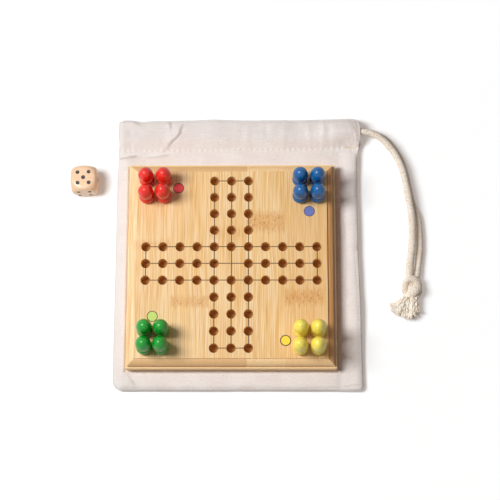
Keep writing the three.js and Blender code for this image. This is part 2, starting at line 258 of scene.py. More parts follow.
# Camera, at the photograph's angle
view = {"lensMm": 100.8, "sensorMm": 36, "placeM": (0.024416, -0.212649, 0.925681)}
view["turnsDegrees"] = (13.708, 0.737, -0.082)
cameraData = bpy.data.cameras.new("camera")
cameraData.lens = view["lensMm"]
cameraData.sensor_width = view["sensorMm"]
cameraData.clip_start = 0.05
camera = bpy.data.objects.new("camera", cameraData)
bpy.context.scene.collection.objects.link(camera)
turns = [Matrix.Rotation(radians(a), 4, axis) for a, axis in zip(view["turnsDegrees"], "XYZ")]
camera.matrix_world = Matrix.Translation(view["placeM"]) @ turns[0] @ turns[1] @ turns[2]
bpy.context.scene.camera = camera
print("camera placed")

# Rope: a soft braided cotton tube along a route
rope = {
    "diameter": 4.5,
    "widthShares": (0.93, 0.98, 1.05, 1.1, 1.14, 1.14),
    "stepLength": 0.4,
    "sides": 40,
    "yarnsEachWay": 6,
    "braidLength": 11,
    "braidDepth": 0.5,
    "unevenness": 0.09,
}


def smoothRoute(points, step):
    # A centripetal Catmull-Rom curve through the points, cut into equal steps.
    pts = np.asarray(points, float)
    pts = np.vstack([2 * pts[0] - pts[1], pts, 2 * pts[-1] - pts[-2]])
    dense = []
    for i in range(1, len(pts) - 2):
        p = pts[i - 1 : i + 3]
        t = np.concatenate([[0], np.cumsum(np.sqrt(np.linalg.norm(np.diff(p, axis=0), axis=1)))])
        for u in np.linspace(t[1], t[2], 40, endpoint=False):
            a = [((t[k + 1] - u) * p[k] + (u - t[k]) * p[k + 1]) / (t[k + 1] - t[k]) for k in range(3)]
            b = [((t[k + 2] - u) * a[k] + (u - t[k]) * a[k + 1]) / (t[k + 2] - t[k]) for k in range(2)]
            dense.append(((t[2] - u) * b[0] + (u - t[1]) * b[1]) / (t[2] - t[1]))
    dense = np.array(dense + [pts[-2]])
    run = np.concatenate([[0], np.cumsum(np.linalg.norm(np.diff(dense, axis=0), axis=1))])
    count = max(4, int(round(run[-1] / step)))
    places = np.linspace(0, run[-1], count + 1)
    return np.stack([np.interp(places, run, dense[:, k]) for k in range(3)], axis=1), run[-1]


def framesAlong(path, firstSide=None):
    along = np.gradient(path, axis=0)
    along /= np.linalg.norm(along, axis=1)[:, None]
    side = np.cross(along[0], (0, 0, 1)) if firstSide is None else np.asarray(firstSide, float)
    sides = []
    for t in along:
        side = side - t * np.dot(side, t)
        side /= np.linalg.norm(side)
        sides.append(side.copy())
    sides = np.array(sides)
    return along, sides, np.cross(sides, along)


def braidHeight(angle, run, settings):
    yarns = settings["yarnsEachWay"]
    turn = 2 * pi * run / settings["braidLength"]
    a = yarns * (angle + turn) / 2
    b = yarns * (angle - turn) / 2
    overA = 0.5 + 0.5 * np.sin(a) * np.sin(b)
    yarnA = np.abs(np.cos(a)) ** 0.6
    yarnB = np.abs(np.cos(b)) ** 0.6
    return overA * yarnA + (1 - overA) * yarnB


def softNoise(seed, values, scale):
    # Smooth repeatable noise of one or more numbers, about -1 to 1.
    draws = np.random.default_rng(seed)
    total = np.zeros(np.broadcast(*values).shape if len(values) > 1 else np.shape(values[0]))
    for octave in range(4):
        size = 1.7**octave
        waves = draws.normal(size=(5, len(values))) * size / scale
        phases = draws.uniform(0, 2 * pi, 5)
        for wave, phase in zip(waves, phases):
            total = total + np.sin(sum(w * v for w, v in zip(wave, values)) + phase) / size / 5
    return total


def ropeMesh(name, points, settings, seed, widths=None, flatness=1, firstSide=None):
    # widths: diameter shares at even places along the route; flatness squeezes it across its up side
    path, length = smoothRoute(points, settings["stepLength"])
    along, sides, ups = framesAlong(path, firstSide)
    n = settings["sides"]
    angle = np.linspace(0, 2 * pi, n, endpoint=False)[None, :]
    run = np.linspace(0, length, len(path))[:, None]
    share = np.ones_like(run)
    if widths is not None:
        share = np.interp(run[:, 0] / length, np.linspace(0, 1, len(widths)), widths)[:, None]
    radius = settings["diameter"] / 2 * share
    wobble = settings["unevenness"] * softNoise(seed, [run + 0 * angle, 2.2 * np.sin(angle) + 0 * run], 3.5)
    relief = braidHeight(angle, run, settings)
    reach = radius * (1 + wobble) + settings["braidDepth"] * (relief - 0.75)
    points3 = (
        path[:, None, :]
        + (reach * np.cos(angle))[..., None] * sides[:, None, :]
        + (flatness * reach * np.sin(angle))[..., None] * ups[:, None, :]
    )
    rows = len(path)
    vertices = np.vstack([points3.reshape(-1, 3), path[:1] - along[:1] * 0.5, path[-1:] + along[-1:] * 0.5])
    faces = ringFaces(rows, n)
    first, last = rows * n, rows * n + 1
    for i in range(n):
        j = (i + 1) % n
        faces.append((first, j, i))
        faces.append((last, (rows - 1) * n + i, (rows - 1) * n + j))
    made = addMesh(name, vertices, faces, 180)
    addAttribute(made.data, "relief", np.concatenate([relief.ravel(), [0.5, 0.5]]))
    if made.data.polygons[0].normal.dot(Vector(vertices[0] - path[0])) < 0:
        made.data.flip_normals()
    return made, path, length


def fibreMaterial(name, braided):
    # Unbleached cotton; on a braid, painted shade darkens the hollows between the yarns to a golden brown.
    tree = newMaterial(name)
    place = objectPlace(tree)
    patch = tree.noise(place, 0.14, 3)
    speck = tree.noise(place, 0.85, 3, 0.8)
    fibre = tree.noise(place, 4, 3, 0.7)
    if braided:
        relief = tree.node("ShaderNodeAttribute", {"attribute_name": "relief"}, (), "Fac")
        colour = tree.blend(patch.ease(0.35, 0.7), shade(255, 248, 238), shade(249, 238, 224))
        layers = [(speck.ease(0.5, 0.6) * 0.6, 220, 184, 138)]
        # painted shade: golden brown in the braid's hollows, where its relief is low
        layers.append(((1 - relief.ease(0.25, 0.8)) * 0.6, 204, 172, 138))
        height = relief * 0.5 + fibre * 0.5 + speck * 0.6
    else:
        colour = tree.blend(patch.ease(0.35, 0.7), shade(255, 250, 240), shade(255, 243, 226))
        layers = [(speck.ease(0.5, 0.7) * 0.5, 244, 212, 168)]
        height = fibre * 0.6 + speck * 0.4
    colour = tree.coats(colour, *layers, (fibre.ease(0.5, 0.75) * 0.4, 254, 248, 242))
    return finishMaterial(tree, colour, 0.95, height, 0.2 if braided else 0.05)


cottonRope = fibreMaterial("cottonRope", True)
tasselCotton = fibreMaterial("tasselCotton", False)

# The two free strands follow the routes of the solids, and start a little way inside the casing.
upperRoute = [
    (80, 94.3, 9.4), (84, 94.3, 9.4), (87.45, 94.3, 9.4), (90.2, 94.3, 9.4), (94.2, 93.8, 9.2),
    (98.6, 92.2, 8.8), (103.1, 89.2, 8.2), (107, 85.2, 7.6), (112, 78.1, 7), (115.2, 71.2, 7),
    (117.3, 63.9, 7), (119.2, 53.6, 7), (120.2, 46.8, 7), (121.3, 39.8, 7), (122, 32.9, 7),
    (122.1, 25.2, 7), (121.9, 17.6, 6.9), (121.1, 10, 6.7), (120.1, 3.1, 6.4), (119.3, -5.8, 6),
]
lowerRoute = [
    (80, 97, 3.3), (84, 97, 3.3), (87.45, 97, 3.3), (90.4, 96.9, 3.2), (94.6, 96.1, 2.7),
    (99.6, 94.3, 2.45), (104.9, 91.2, 2.4), (109.2, 86.6, 2.4), (113.8, 79.6, 2.4), (116.8, 72.5, 2.4),
    (118.8, 65.2, 2.4), (120.8, 54.9, 2.4), (121.9, 48, 2.4), (123.9, 41.6, 2.4), (126, 35.5, 2.4),
    (126.9, 27.8, 2.4), (127.1, 19.4, 2.4), (126.8, 11, 2.4), (126.1, 4, 2.5), (124.3, -6.6, 3.4),
]
upperStrand, upperPath, upperLength = ropeMesh("upperStrand", upperRoute, rope, 11, rope["widthShares"])
lowerStrand, lowerPath, lowerLength = ropeMesh("lowerStrand", lowerRoute, rope, 12, rope["widthShares"])
for strand in (upperStrand, lowerStrand):
    strand.data.materials.append(cottonRope)
print("strands laid", round(upperLength), round(lowerLength))

# Knot: the doubled cord pulled tight into three rolls round a core
knot = {
    "centre": (121, -13.6, 0),
    "turnDegrees": -9.5,
    "braidDepth": 0.6,
}


def inKnot(points):
    turn = Matrix.Rotation(radians(knot["turnDegrees"]), 3, "Z")
    return [tuple(turn @ Vector(p) + Vector(knot["centre"])) for p in points]


knotTurns = [
    # route in the knot's own frame, diameter, width shares, flatness
    ([(-1.2, -5.6, 2.6), (-2.9, -4.5, 3.5), (-4.2, -2, 5), (-4.3, 1.4, 6.4), (-2.9, 3.9, 7.2),
      (-0.4, 4.7, 7.1), (2.4, 3.8, 6), (4, 2, 4.5), (4.3, 0.2, 3)],
     4.9, (0.75, 1, 1.04, 1.02, 1.04, 1.08, 1.05, 1, 0.8), 0.95),
    ([(4.5, 2.5, 4.2), (3.6, -0.2, 6.2), (1.8, -3.1, 7.0), (-0.3, -5.5, 6.0), (-1.9, -6.5, 4.2)],
     6.4, (0.7, 1, 1.08, 1, 0.75), 0.8),
    ([(4.9, 0.8, 4.2), (5.0, -2.6, 4.4), (3.8, -5.6, 4.3), (2.1, -7.6, 4.1)],
     4.5, (0.8, 1.05, 1, 0.75), 0.95),
    ([(-2.9, 8.1, 6), (-1.9, 3.6, 5.2), (-0.2, -2, 4.6), (0.5, -7.4, 4.2)],
     4.9, (0.92, 1.1, 1.25, 1.15), 1),
    ([(2.1, 8, 3.4), (1.9, 3.2, 3.4), (0.9, -2.4, 3.4), (0.7, -7.4, 3.8)],
     4.9, (0.92, 1.05, 1.2, 1.1), 1),
]
knotPieces = []
for i, (route, diameter, widths, flatness) in enumerate(knotTurns):
    settings = dict(rope, diameter=diameter, braidDepth=knot["braidDepth"], sides=36)
    turnPiece, _, _ = ropeMesh(f"knotTurn{i + 1}", inKnot(route), settings, 20 + i, widths, flatness)
    turnPiece.data.materials.append(cottonRope)
    knotPieces.append(turnPiece)
print("knot tied")

# Frayed end: plies of fine yarns, each yarn a thin tube, spreading from the knot
tassel = {
    "rootLeft": (-5.2, -8.2),
    "rootRight": (4.3, -7.6),
    "rootBack": 2.2,
    "rootWidthShare": 0.7,
    "rootHeight": 3.4,
    "rootLayerHeight": 1.4,
    "height": 8,
    "lowest": 0.32,
    "turnAsideShare": 0.2,
    "pliesAcross": 9,
    "layers": 2,
    "yarnsInPly": 30,
    "plyWidth": 4,
    "crimp": 0.5,
    "crimpRadians": 22,
    "plySway": (0.45, 0.5),
    "yarnSway": (0.12, 0.15, 0.15),
    "straySway": (0.9, 0.8),
    "strayOffset": (1.3, 0.7),
    "yarnDiameter": 0.6,
    "strayYarns": 60,
    "strayDiameter": 0.24,
    "seed": 5,
}
# Where the fan's edge runs, from left to right in the knot's own frame
tasselFan = [
    (-13.3, -14.6), (-11.7, -19.3), (-7.8, -20.3), (-4.1, -21.8), (0.4, -22.9), (3.3, -21.7), (6, -19.6),
    (6.6, -16),
]


def yarnTree(tree, given):
    curves = tree.geometry("MeshToCurve", [given["Geometry"]])
    share = tree.node("GeometryNodeInputNamedAttribute", {"data_type": "FLOAT"}, ["thickness"])
    curves = tree.geometry("SetCurveRadius", {"Curve": curves, "Radius": share})
    values = {"Resolution": given["Sides"], "Radius": given["Radius"]}
    ring = tree.geometry("CurvePrimitiveCircle", values)
    values = {"Curve": curves, "Profile Curve": ring, "Fill Caps": True, "Scale": share}
    smooth = tree.geometry("SetShadeSmooth", [tree.geometry("CurveToMesh", values)])
    made = tree.geometry("RealizeInstances", [smooth])
    return tree.geometry("SetMaterial", {"Geometry": made, "Material": given["Material"]})


def sweepYarns(name, routes, thicknesses, diameter, sides, material):
    points, edges, shares = [], [], []
    for route, thickness in zip(routes, thicknesses):
        start = len(points)
        points.extend(route)
        shares.extend(thickness)
        edges.extend((start + i, start + i + 1) for i in range(len(route) - 1))
    mesh = bpy.data.meshes.new(name)
    mesh.from_pydata([tuple(p) for p in np.asarray(points) * mm], edges, [])
    addAttribute(mesh, "thickness", shares)
    piece = addObject(name, mesh)
    values = {"Radius": diameter / 2 * mm, "Sides": sides, "Material": material}
    return runGroup(piece, "yarns", yarnTree, values)


def fanPoint(share):
    places = np.linspace(0, 1, len(tasselFan))
    xs, ys = np.array(tasselFan).T
    return np.array([np.interp(share, places, xs), np.interp(share, places, ys)])


def yarnRoute(draws, share, layer, offset, wave, reach, steps=14):
    # One yarn from the knot to the fan's edge: out of its root, then bending to its place.
    root = np.array(tassel["rootLeft"]) * (1 - share) + np.array(tassel["rootRight"]) * share
    end = fanPoint(share)
    straight = (end - root) * reach
    # the outer yarns leave the knot more nearly straight down before they turn aside
    turnAside = np.array([0, -1.0]) * np.linalg.norm(straight) * tassel["turnAsideShare"]
    side = np.array([-straight[1], straight[0]]) / np.linalg.norm(straight)
    phase = wave[2]
    crimpPhase = draws.uniform(0, 2 * pi, 2)
    rootHeight = tassel["rootHeight"] + layer * tassel["rootLayerHeight"]
    route = [(root[0] * tassel["rootWidthShare"], root[1] + tassel["rootBack"], rootHeight)]
    for k in range(steps + 1):
        t = k / steps
        spread = 0.45 + 0.55 * t
        crimp = tassel["crimp"] * np.sin(tassel["crimpRadians"] * t + crimpPhase)
        across = offset[0] * spread + wave[0] * sin(5 * t + phase) * t + crimp[0]
        at = root + straight * t + turnAside * sin(pi * t) + side * across
        low, high = 0.5, tassel["height"] * (0.92 - 0.25 * t)
        level = 0.5 + 0.42 * layer + offset[1] / tassel["plyWidth"] * 0.5
        z = low + (high - low) * min(1, max(0, level)) + wave[1] * sin(4 * t + phase) * t + crimp[1]
        route.append((at[0], at[1], max(tassel["lowest"], z)))
    return route


def tasselRoutes():
    draws = np.random.default_rng(tassel["seed"])
    routes, thicknesses = [], []
    for layer in range(tassel["layers"]):
        for ply in range(tassel["pliesAcross"]):
            share = (ply + 0.5 + draws.uniform(-0.25, 0.25)) / tassel["pliesAcross"]
            plyWave = [*(draws.normal(0, much) for much in tassel["plySway"]), draws.uniform(0, 2 * pi)]
            plyReach = draws.uniform(0.86, 1.0)
            height = layer * 1.1 - 0.55 + draws.normal(0, 0.12)
            for _ in range(tassel["yarnsInPly"]):
                radius = sqrt(draws.uniform(0, 1)) * tassel["plyWidth"] / 2
                turn = draws.uniform(0, 2 * pi)
                offset = (radius * cos(turn), radius * sin(turn))
                wave = [own + draws.normal(0, much) for own, much in zip(plyWave, tassel["yarnSway"])]
                reach = plyReach * draws.uniform(0.9, 1.02)
                routes.append(inKnot(yarnRoute(draws, share, height, offset, wave, reach)))
                thicknesses.append([1] * 13 + [0.95, 0.8, 0.5])
    return routes, thicknesses


def strayRoutes():
    draws = np.random.default_rng(tassel["seed"] + 1)
    routes, thicknesses = [], []
    for _ in range(tassel["strayYarns"]):
        share = draws.uniform(0, 1)
        wave = [*(draws.normal(0, much) for much in tassel["straySway"]), draws.uniform(0, 2 * pi)]
        offset = [draws.normal(0, much) for much in tassel["strayOffset"]]
        height, reach = draws.uniform(-0.6, 0.9), draws.uniform(0.85, 1.06)
        routes.append(inKnot(yarnRoute(draws, share, height, offset, wave, reach)))
        thicknesses.append([1] * 13 + [0.9, 0.7, 0.4])
    return routes, thicknesses


routes, thicknesses = tasselRoutes()
tasselPiece = sweepYarns("tassel", routes, thicknesses, tassel["yarnDiameter"], 5, tasselCotton)
routes, thicknesses = strayRoutes()
strayPiece = sweepYarns("tasselStrays", routes, thicknesses, tassel["strayDiameter"], 4, tasselCotton)
# the yarns' packed middle, which closes the gaps between them
coreRoute = inKnot([(-0.4, -6.6, 4), (-1.2, -10.5, 3.7), (-2.4, -14, 3.1), (-3.4, -17, 2.4)])
coreSettings = dict(rope, diameter=12.4, braidDepth=0.5, sides=40)
coreWidths, coreFlatness = (0.62, 0.85, 1.02, 1, 0.8), 0.42
corePiece, _, _ = ropeMesh("tasselCore", coreRoute, coreSettings, 31, coreWidths, coreFlatness, (1, 0, 0))
corePiece.data.materials.append(tasselCotton)
print("tassel frayed")

# Board
board = {
    "side": 140,
    "bottom": 1.5,
    "top": 16.5,
    "fieldSide": 128.2,
    "fieldSoftening": 0.12,
    "edgeStep": 0.9,
    "mouldingHeight": 3.3,
    "mouldingFoot": 1.5,
    "ledgeWidth": 1.4,
    "ledgeRadius": 0.35,
    "underChamfer": 0.6,
    "cornerRadius": 0.9,
    "mitreRadius": 0.25,
    "holePitch": 11.45,
    "holeDiameter": 6.2,
    "holeDepth": 9,
    "holeRim": 0.22,
    "holeSides": 40,
    "lineWidth": 0.62,
    "lineDepth": 0.4,
    "markerAlongShare": 4.56,
    "markerAcrossShare": 3.14,
    "markerRadius": 3.7,
}
# The start rings, red, blue, yellow and lime, each a quarter turn on: radius and colour of the paint inside
startMarkers = [
    (3.2, shade(240, 8, 40)),
    (3.3, shade(92, 108, 184)),
    (3, shade(248, 216, 30)),
    (3.15, shade(186, 212, 88)),
]


def markerPlace(quarter):
    x = -board["markerAcrossShare"] * board["holePitch"]
    y = board["markerAlongShare"] * board["holePitch"]
    for _ in range(quarter):
        x, y = y, -x
    return x, y


def boardRings():
    field, side = board["fieldSide"] / 2, board["side"] / 2
    ledgeInner = side - board["ledgeWidth"]
    foot = board["top"] - board["edgeStep"] - board["mouldingHeight"]
    ledge = foot - board["mouldingFoot"]
    outer, mitre = board["cornerRadius"], board["mitreRadius"]
    rings = [
        (side - board["underChamfer"], board["bottom"], outer),
        (side, board["bottom"] + board["underChamfer"], outer),
    ]
    rounded = board["ledgeRadius"]
    for i in range(7):
        turn = i * pi / 12
        rings.append((side - rounded * (1 - cos(turn)), ledge - rounded * (1 - sin(turn)), outer))
    rings.append((ledgeInner, ledge, mitre))
    for i in range(17):
        turn = i * pi / 32
        height = board["mouldingHeight"] * sin(turn)
        rings.append((field + (ledgeInner - field) * cos(turn), foot + height, mitre))
    softening = board["fieldSoftening"]
    rings.append((field, board["top"] - softening, mitre))
    rings.append((field - softening, board["top"], mitre))
    return rings


def roundedSquare(half, radius, z, steps=5):
    points = []
    for corner, (sx, sy) in enumerate(((1, 1), (-1, 1), (-1, -1), (1, -1))):
        for i in range(steps + 1):
            turn = corner * pi / 2 + i * pi / 2 / steps
            straight = half - radius
            points.append((sx * straight + radius * cos(turn), sy * straight + radius * sin(turn), z))
    return points


def stack(rings):
    # Joins rings of points, each anticlockwise from above, from the bottom up.
    n = len(rings[0])
    points = [p for ring in rings for p in ring]
    top = (len(rings) - 1) * n
    return points, [tuple(range(n - 1, -1, -1)), *ringFaces(len(rings), n), tuple(range(top, top + n))]


def drilledBoardTree(tree, given):
    pitch, top, width, depth = given["Pitch"], given["Top"], given["Line Width"], given["Line Depth"]

    def coat(geometry, material):
        return tree.geometry("SetMaterial", {"Geometry": geometry, "Material": given[material]})

    def cut(body, cutter):
        return tree.node("GeometryNodeMeshBoolean", {"solver": "MANIFOLD"}, {0: body, 1: cutter})

    def moved(geometry, x, y, z):
        values = {"Geometry": geometry, "Translation": tree.join(x, y, z)}
        return tree.geometry("Transform", values)

    def cylinder(sides, radius, height):
        values = {"Vertices": sides, "Radius": radius, "Depth": height}
        return tree.geometry("MeshCylinder", values)

    def bars(count, place, step, size):
        values = {"Count": count, "Start Location": place, "Offset": step}
        line = tree.geometry("MeshLine", values)
        cube = tree.geometry("MeshCube", {"Size": size})
        return tree.geometry("InstanceOnPoints", {"Points": line, "Instance": cube})

    made = coat(given["Geometry"], "Wood")
    tall = depth * 2
    long, short = pitch * 10 + width, pitch * 2 + width
    for upright in (True, False):

        def turned(x, y, z, upright=upright):
            return tree.join(x, y, z) if upright else tree.join(y, x, z)

        lines = [
            bars(3, turned(pitch * -1, 0, top), turned(pitch, 0, 0), turned(width, long, tall)),
            bars(2, turned(pitch * -5, 0, top), turned(pitch * 10, 0, 0), turned(width, short, tall)),
        ]
        joined = tree.geometry("JoinGeometry", {0: lines})
        made = cut(made, tree.geometry("RealizeInstances", [joined]))

    for quarter, (paintRadius, _) in enumerate(startMarkers):
        x, y = markerPlace(quarter)
        ring = cut(cylinder(64, given["Marker Radius"], tall), cylinder(64, paintRadius * mm, tall * 2))
        made = cut(made, moved(ring, x * mm, y * mm, top))

    _, _, level = tree.node("GeometryNodeInputPosition").split()
    engraved = level.under(top - depth * 0.25) * level.over(top - depth * 1.1)
    values = {"Geometry": made, "Selection": engraved, "Material": given["Burnt"]}
    made = tree.geometry("SetMaterial", values)

    values = {"Size X": pitch * 10, "Size Y": pitch * 10, "Vertices X": 11, "Vertices Y": 11}
    grid = tree.geometry("MeshGrid", values)
    x, y, _ = tree.node("GeometryNodeInputPosition").split()
    column, row = x.size() / pitch, y.size() / pitch
    near, far = column.least(row), column.most(row)
    wanted = (near.under(1.5) * far.over(0.5)).most(near.over(3.5))
    values = {"Geometry": grid, "Selection": 1 - wanted}
    places = tree.node("GeometryNodeDeleteGeometry", {"domain": "POINT"}, values)
    sides, radius, rim = given["Sides"], given["Hole Diameter"] / 2, given["Rim"]
    values = {"Vertices": sides, "Radius Top": radius + rim * 2, "Radius Bottom": radius - rim}
    values["Depth"] = rim * 3
    mouth = moved(tree.geometry("MeshCone", values), 0, 0, rim * -2)
    for tool in (mouth, cylinder(sides, radius, given["Hole Depth"] * 2)):
        tools = tree.geometry("InstanceOnPoints", {"Points": places, "Instance": tool})
        tools = coat(tree.geometry("RealizeInstances", [moved(tools, 0, 0, top)]), "Drilled")
        made = cut(made, tools)
    return made


bamboo = {
    "stripWidth": 25.4,
    "firstStripEdge": -65.9,
    # one knuckle in each strip: its place along Y, its half height, its strength
    "knuckles": [(12.7, 3.2, 0.4), (-26.3, 3.8, 0.75), (20.5, 4.5, 0.35), (28.8, 6.5, 0.9), (-22.9, 5.2, 1)],
}


def knuckleCoats(tree, colour, place, strip, y):
    # The band across a strip where the cane had its knuckle: ragged, flecked and pitted.
    knuckleY, knuckleHalf, strength = 0, 0, 0
    for i, (at, half, much) in enumerate(bamboo["knuckles"]):
        here = tree.node("ShaderNodeMath", {"operation": "COMPARE"}, [strip, i, 0.1])
        knuckleY = here * at + knuckleY
        knuckleHalf = here * half + knuckleHalf
        strength = here * much + strength
    ragged = tree.noise(place, (0.55, 0.05, 0.1), 3, 0.7) - 0.5
    off = (y - knuckleY + ragged * 9) / (knuckleHalf + 0.01)
    band = (1 - off.size().ease(0.3, 1.5)) * strength
    core = (1 - off.size().ease(0.25, 0.8)) * strength
    flecks = tree.noise(place, (0.9, 0.28, 0.5), 2, 0.7).ease(0.5, 0.64)
    pale = tree.noise(tree.vector("ADD", place, (40, 7, 0)), (1.5, 0.5, 0.5), 2, 0.7).ease(0.56, 0.68)
    chosen = tree.noise(place, (0.5, 0.4, 0.4), 1).ease(0.46, 0.54)
    pits = (1 - tree.cells(place, (0.5, 0.3, 0.4)).ease(0.13, 0.3)) * chosen * core
    colour = tree.coats(
        colour,
        (band * 0.7, 217, 160, 88),
        (band * flecks * 0.75, 194, 132, 66),
        (band * pale * 0.5, 248, 214, 160),
        (pits * 0.7, 128, 82, 42),
    )
    return colour, pits


def endGrainCoats(tree, colour, place, x, y, own):
    # The ends of the fibres show on the far and near borders, and painted light brightens the far moulding.
    side, rim = board["side"] / 2, board["fieldSide"] / 2
    endwise = (y.size() - x.size()).ease(-0.3, 0.3) * y.size().ease(rim - 0.4, rim + 0.1)
    fibreEnds = tree.noise(place, (1.6, 1.2, 1.6), 3, 0.7)
    onLedge = y.size().ease(side - 1.6, side - 1.2)
    dashes = tree.noise(place, (1.3, 0.3, 0.5), 2, 0.7).ease(0.48, 0.62)
    endColour = tree.coats(
        tree.blend(fibreEnds.ease(0.35, 0.68), shade(248, 216, 168), shade(232, 186, 128)),
        (own.ease(0.55, 0.95) * 0.5, 196, 142, 80),
        (onLedge * dashes * 0.5, 238, 176, 92),
    )
    colour = tree.blend(endwise * 0.9, colour, endColour)
    # painted light: the far moulding made paler
    farRimLight = y.ease(rim + 3.2, side - 1.6)
    return tree.coats(colour, (farRimLight * 0.6, 255, 214, 138)), fibreEnds * endwise


def mouldingCoats(tree, colour, x, y, z):
    # Painted shade darkens the moulding along the right, with painted shadow lines below its two steps, and
    # painted light brightens the right and near ledges.
    side, rim = board["side"] / 2, board["fieldSide"] / 2
    ledgeInner = side - board["ledgeWidth"]
    rightSide = (x - y.size()).ease(-0.15, 0.15) * x.ease(rim - 0.2, rim + 0.2)
    # painted shadow lines below the right moulding's two steps
    stepShadows = (1 - (x - rim - 0.45).size().ease(0.2, 0.6)) * 0.6
    stepShadows = stepShadows.most((1 - (x - ledgeInner + 0.3).size().ease(0.2, 0.6)) * 0.75)
    # painted light on the right and near ledges
    rightLedgeLight = x.ease(ledgeInner + 0.2, ledgeInner + 0.5) * (1 - x.ease(side - 0.3, side - 0.05))
    nearLedgeLight = (y * -1).ease(ledgeInner + 0.2, ledgeInner + 0.5)
    # painted shade over the right moulding, then its shadow lines and the lit ledges
    return tree.coats(
        tree.blend(rightSide * 0.8, colour, shade(218, 180, 130), "MULTIPLY"),
        (stepShadows * rightSide, 104, 62, 30),
        (rightLedgeLight * z.over(5) * rightSide, 255, 236, 186),
        (nearLedgeLight * 0.5, 255, 224, 170),
    )


def startPaint(tree, colour, place, x, y, z):
    # Thin paint inside each start ring, with the wood showing a little.
    mottle = tree.noise(place, 1.5, 3, 0.6).ease(0.3, 0.75) * 0.08
    for quarter, (radius, paint) in enumerate(startMarkers):
        px, py = markerPlace(quarter)
        dx, dy = x - px, y - py
        off = (dx * dx + dy * dy) ** 0.5
        inside = (1 - off.ease(radius - 0.04, radius + 0.08)) * z.over(board["top"] - 0.2)
        colour = tree.blend(inside, colour, tree.blend(mottle, paint, shade(255, 250, 240)))
    return colour


def bambooMaterial():
    # Glued strips, each with its own long grain.
    tree = newMaterial("bambooBoard")
    place = objectPlace(tree)
    x, y, z = place.split()
    strip = ((x - bamboo["firstStripEdge"]) / bamboo["stripWidth"]).floor()
    own = tree.random(strip + 0.37)
    shifted = tree.vector("ADD", place, tree.join(0, own * 400, own * 90))
    wander = tree.noise(shifted, 0.02, 1)
    leaned = tree.vector("ADD", shifted, tree.join(wander * 3, 0, 0))
    fine = tree.noise(leaned, (1.7, 0.03, 0.6), 2, 0.7)
    middling = tree.noise(leaned, (0.62, 0.02, 0.2), 2, 0.55)
    broad = tree.noise(leaned, (0.16, 0.01, 0.05), 2, 0.5)
    tone = fine * 0.64 + middling * 0.22 + broad * 0.14
    stops = [
        (0.34, shade(204, 150, 82)),
        (0.44, shade(227, 181, 114)),
        (0.52, shade(239, 203, 149)),
        (0.61, shade(249, 224, 182)),
    ]
    gold = tree.noise(leaned, (1.6, 0.02, 0.3), 2, 0.55).ease(0.54, 0.66)
    darker = x.ease(15, 60) * 0.5 + x.ease(bamboo["firstStripEdge"] + 20, 15) * 0.12
    colour = tree.coats(
        tree.node("ShaderNodeValToRGB", {"stops": stops}, [tone]),
        (gold * 0.5, 242, 184, 88),
        (own * 0.14, 226, 178, 120),
        (darker * 0.5, 222, 170, 102),
    )
    colour, pits = knuckleCoats(tree, colour, place, strip, y)
    colour, ends = endGrainCoats(tree, colour, place, x, y, own)
    colour = mouldingCoats(tree, colour, x, y, z)
    colour = startPaint(tree, colour, place, x, y, z)
    height = fine * 0.5 + ends * 0.3 - pits * 0.5
    return finishMaterial(tree, colour, 0.46, height, 0.05, Coat_Weight=0.12, Coat_Roughness=0.35)


def drilledMaterial():
    tree = newMaterial("drilledBamboo")
    place = objectPlace(tree)
    _, _, z = place.split()
    grain = tree.noise(place, (1.2, 0.3, 2.4), 3, 0.6)
    # painted shade: the hole walls get darker towards the bottom of each hole
    depthShade = 1 - z.ease(board["top"] - board["holeDepth"], board["top"] - 0.3)
    colour = tree.blend(grain.ease(0.3, 0.7), shade(244, 204, 142), shade(230, 184, 120))
    colour = tree.blend(depthShade, colour, shade(212, 160, 96))
    return finishMaterial(tree, colour, 0.7, grain, 0.03)


def burntMaterial():
    tree = newMaterial("burntLine")
    place = objectPlace(tree)
    uneven = tree.noise(place, 0.9, 3, 0.6)
    colour = tree.blend(uneven.ease(0.3, 0.7), shade(92, 76, 60), shade(132, 108, 84))
    return finishMaterial(tree, colour, 0.85, uneven, 0.05)


blankPoints, blankFaces = stack([roundedSquare(half, radius, z) for half, z, radius in boardRings()])
boardPiece = addMesh("boardWood", blankPoints, blankFaces)
boardSizes = {
    "Pitch": board["holePitch"],
    "Hole Diameter": board["holeDiameter"],
    "Hole Depth": board["holeDepth"],
    "Rim": board["holeRim"],
    "Line Width": board["lineWidth"],
    "Line Depth": board["lineDepth"],
    "Top": board["top"],
    "Marker Radius": board["markerRadius"],
}
boardValues = {label: value * mm for label, value in boardSizes.items()}
boardValues.update({"Sides": board["holeSides"], "Wood": bambooMaterial()})
boardValues.update({"Drilled": drilledMaterial(), "Burnt": burntMaterial()})
runGroup(boardPiece, "drilledBoard", drilledBoardTree, boardValues)
boardPiece.data.shade_smooth()
boardPiece.data.set_sharp_from_angle(angle=radians(25))
dress(boardPiece, "board", "board_bamboo", "board")
print("board drilled", len(boardPiece.data.polygons), [m.name for m in boardPiece.data.materials])

# Pawns
pawn = {
    "headDiameter": 10.2,
    "headTopHeight": 8,
    "headLowerHeight": 8.9,
    "headMiddleHeight": 14.5,
    "beadDiameter": 10.2,
    "beadHeight": 6.8,
    "neckStep": 0.3,
    "pegDiameter": 5.3,
    "pegLength": 8,
    "pegChamfer": 0.5,
    "pegShoulder": 0.1,
    "footSoftening": 0.15,
    "footRise": 0.12,
    "beadHeightShare": 0.94,
    "seatGap": 0.3,
    "sides": 56,
}
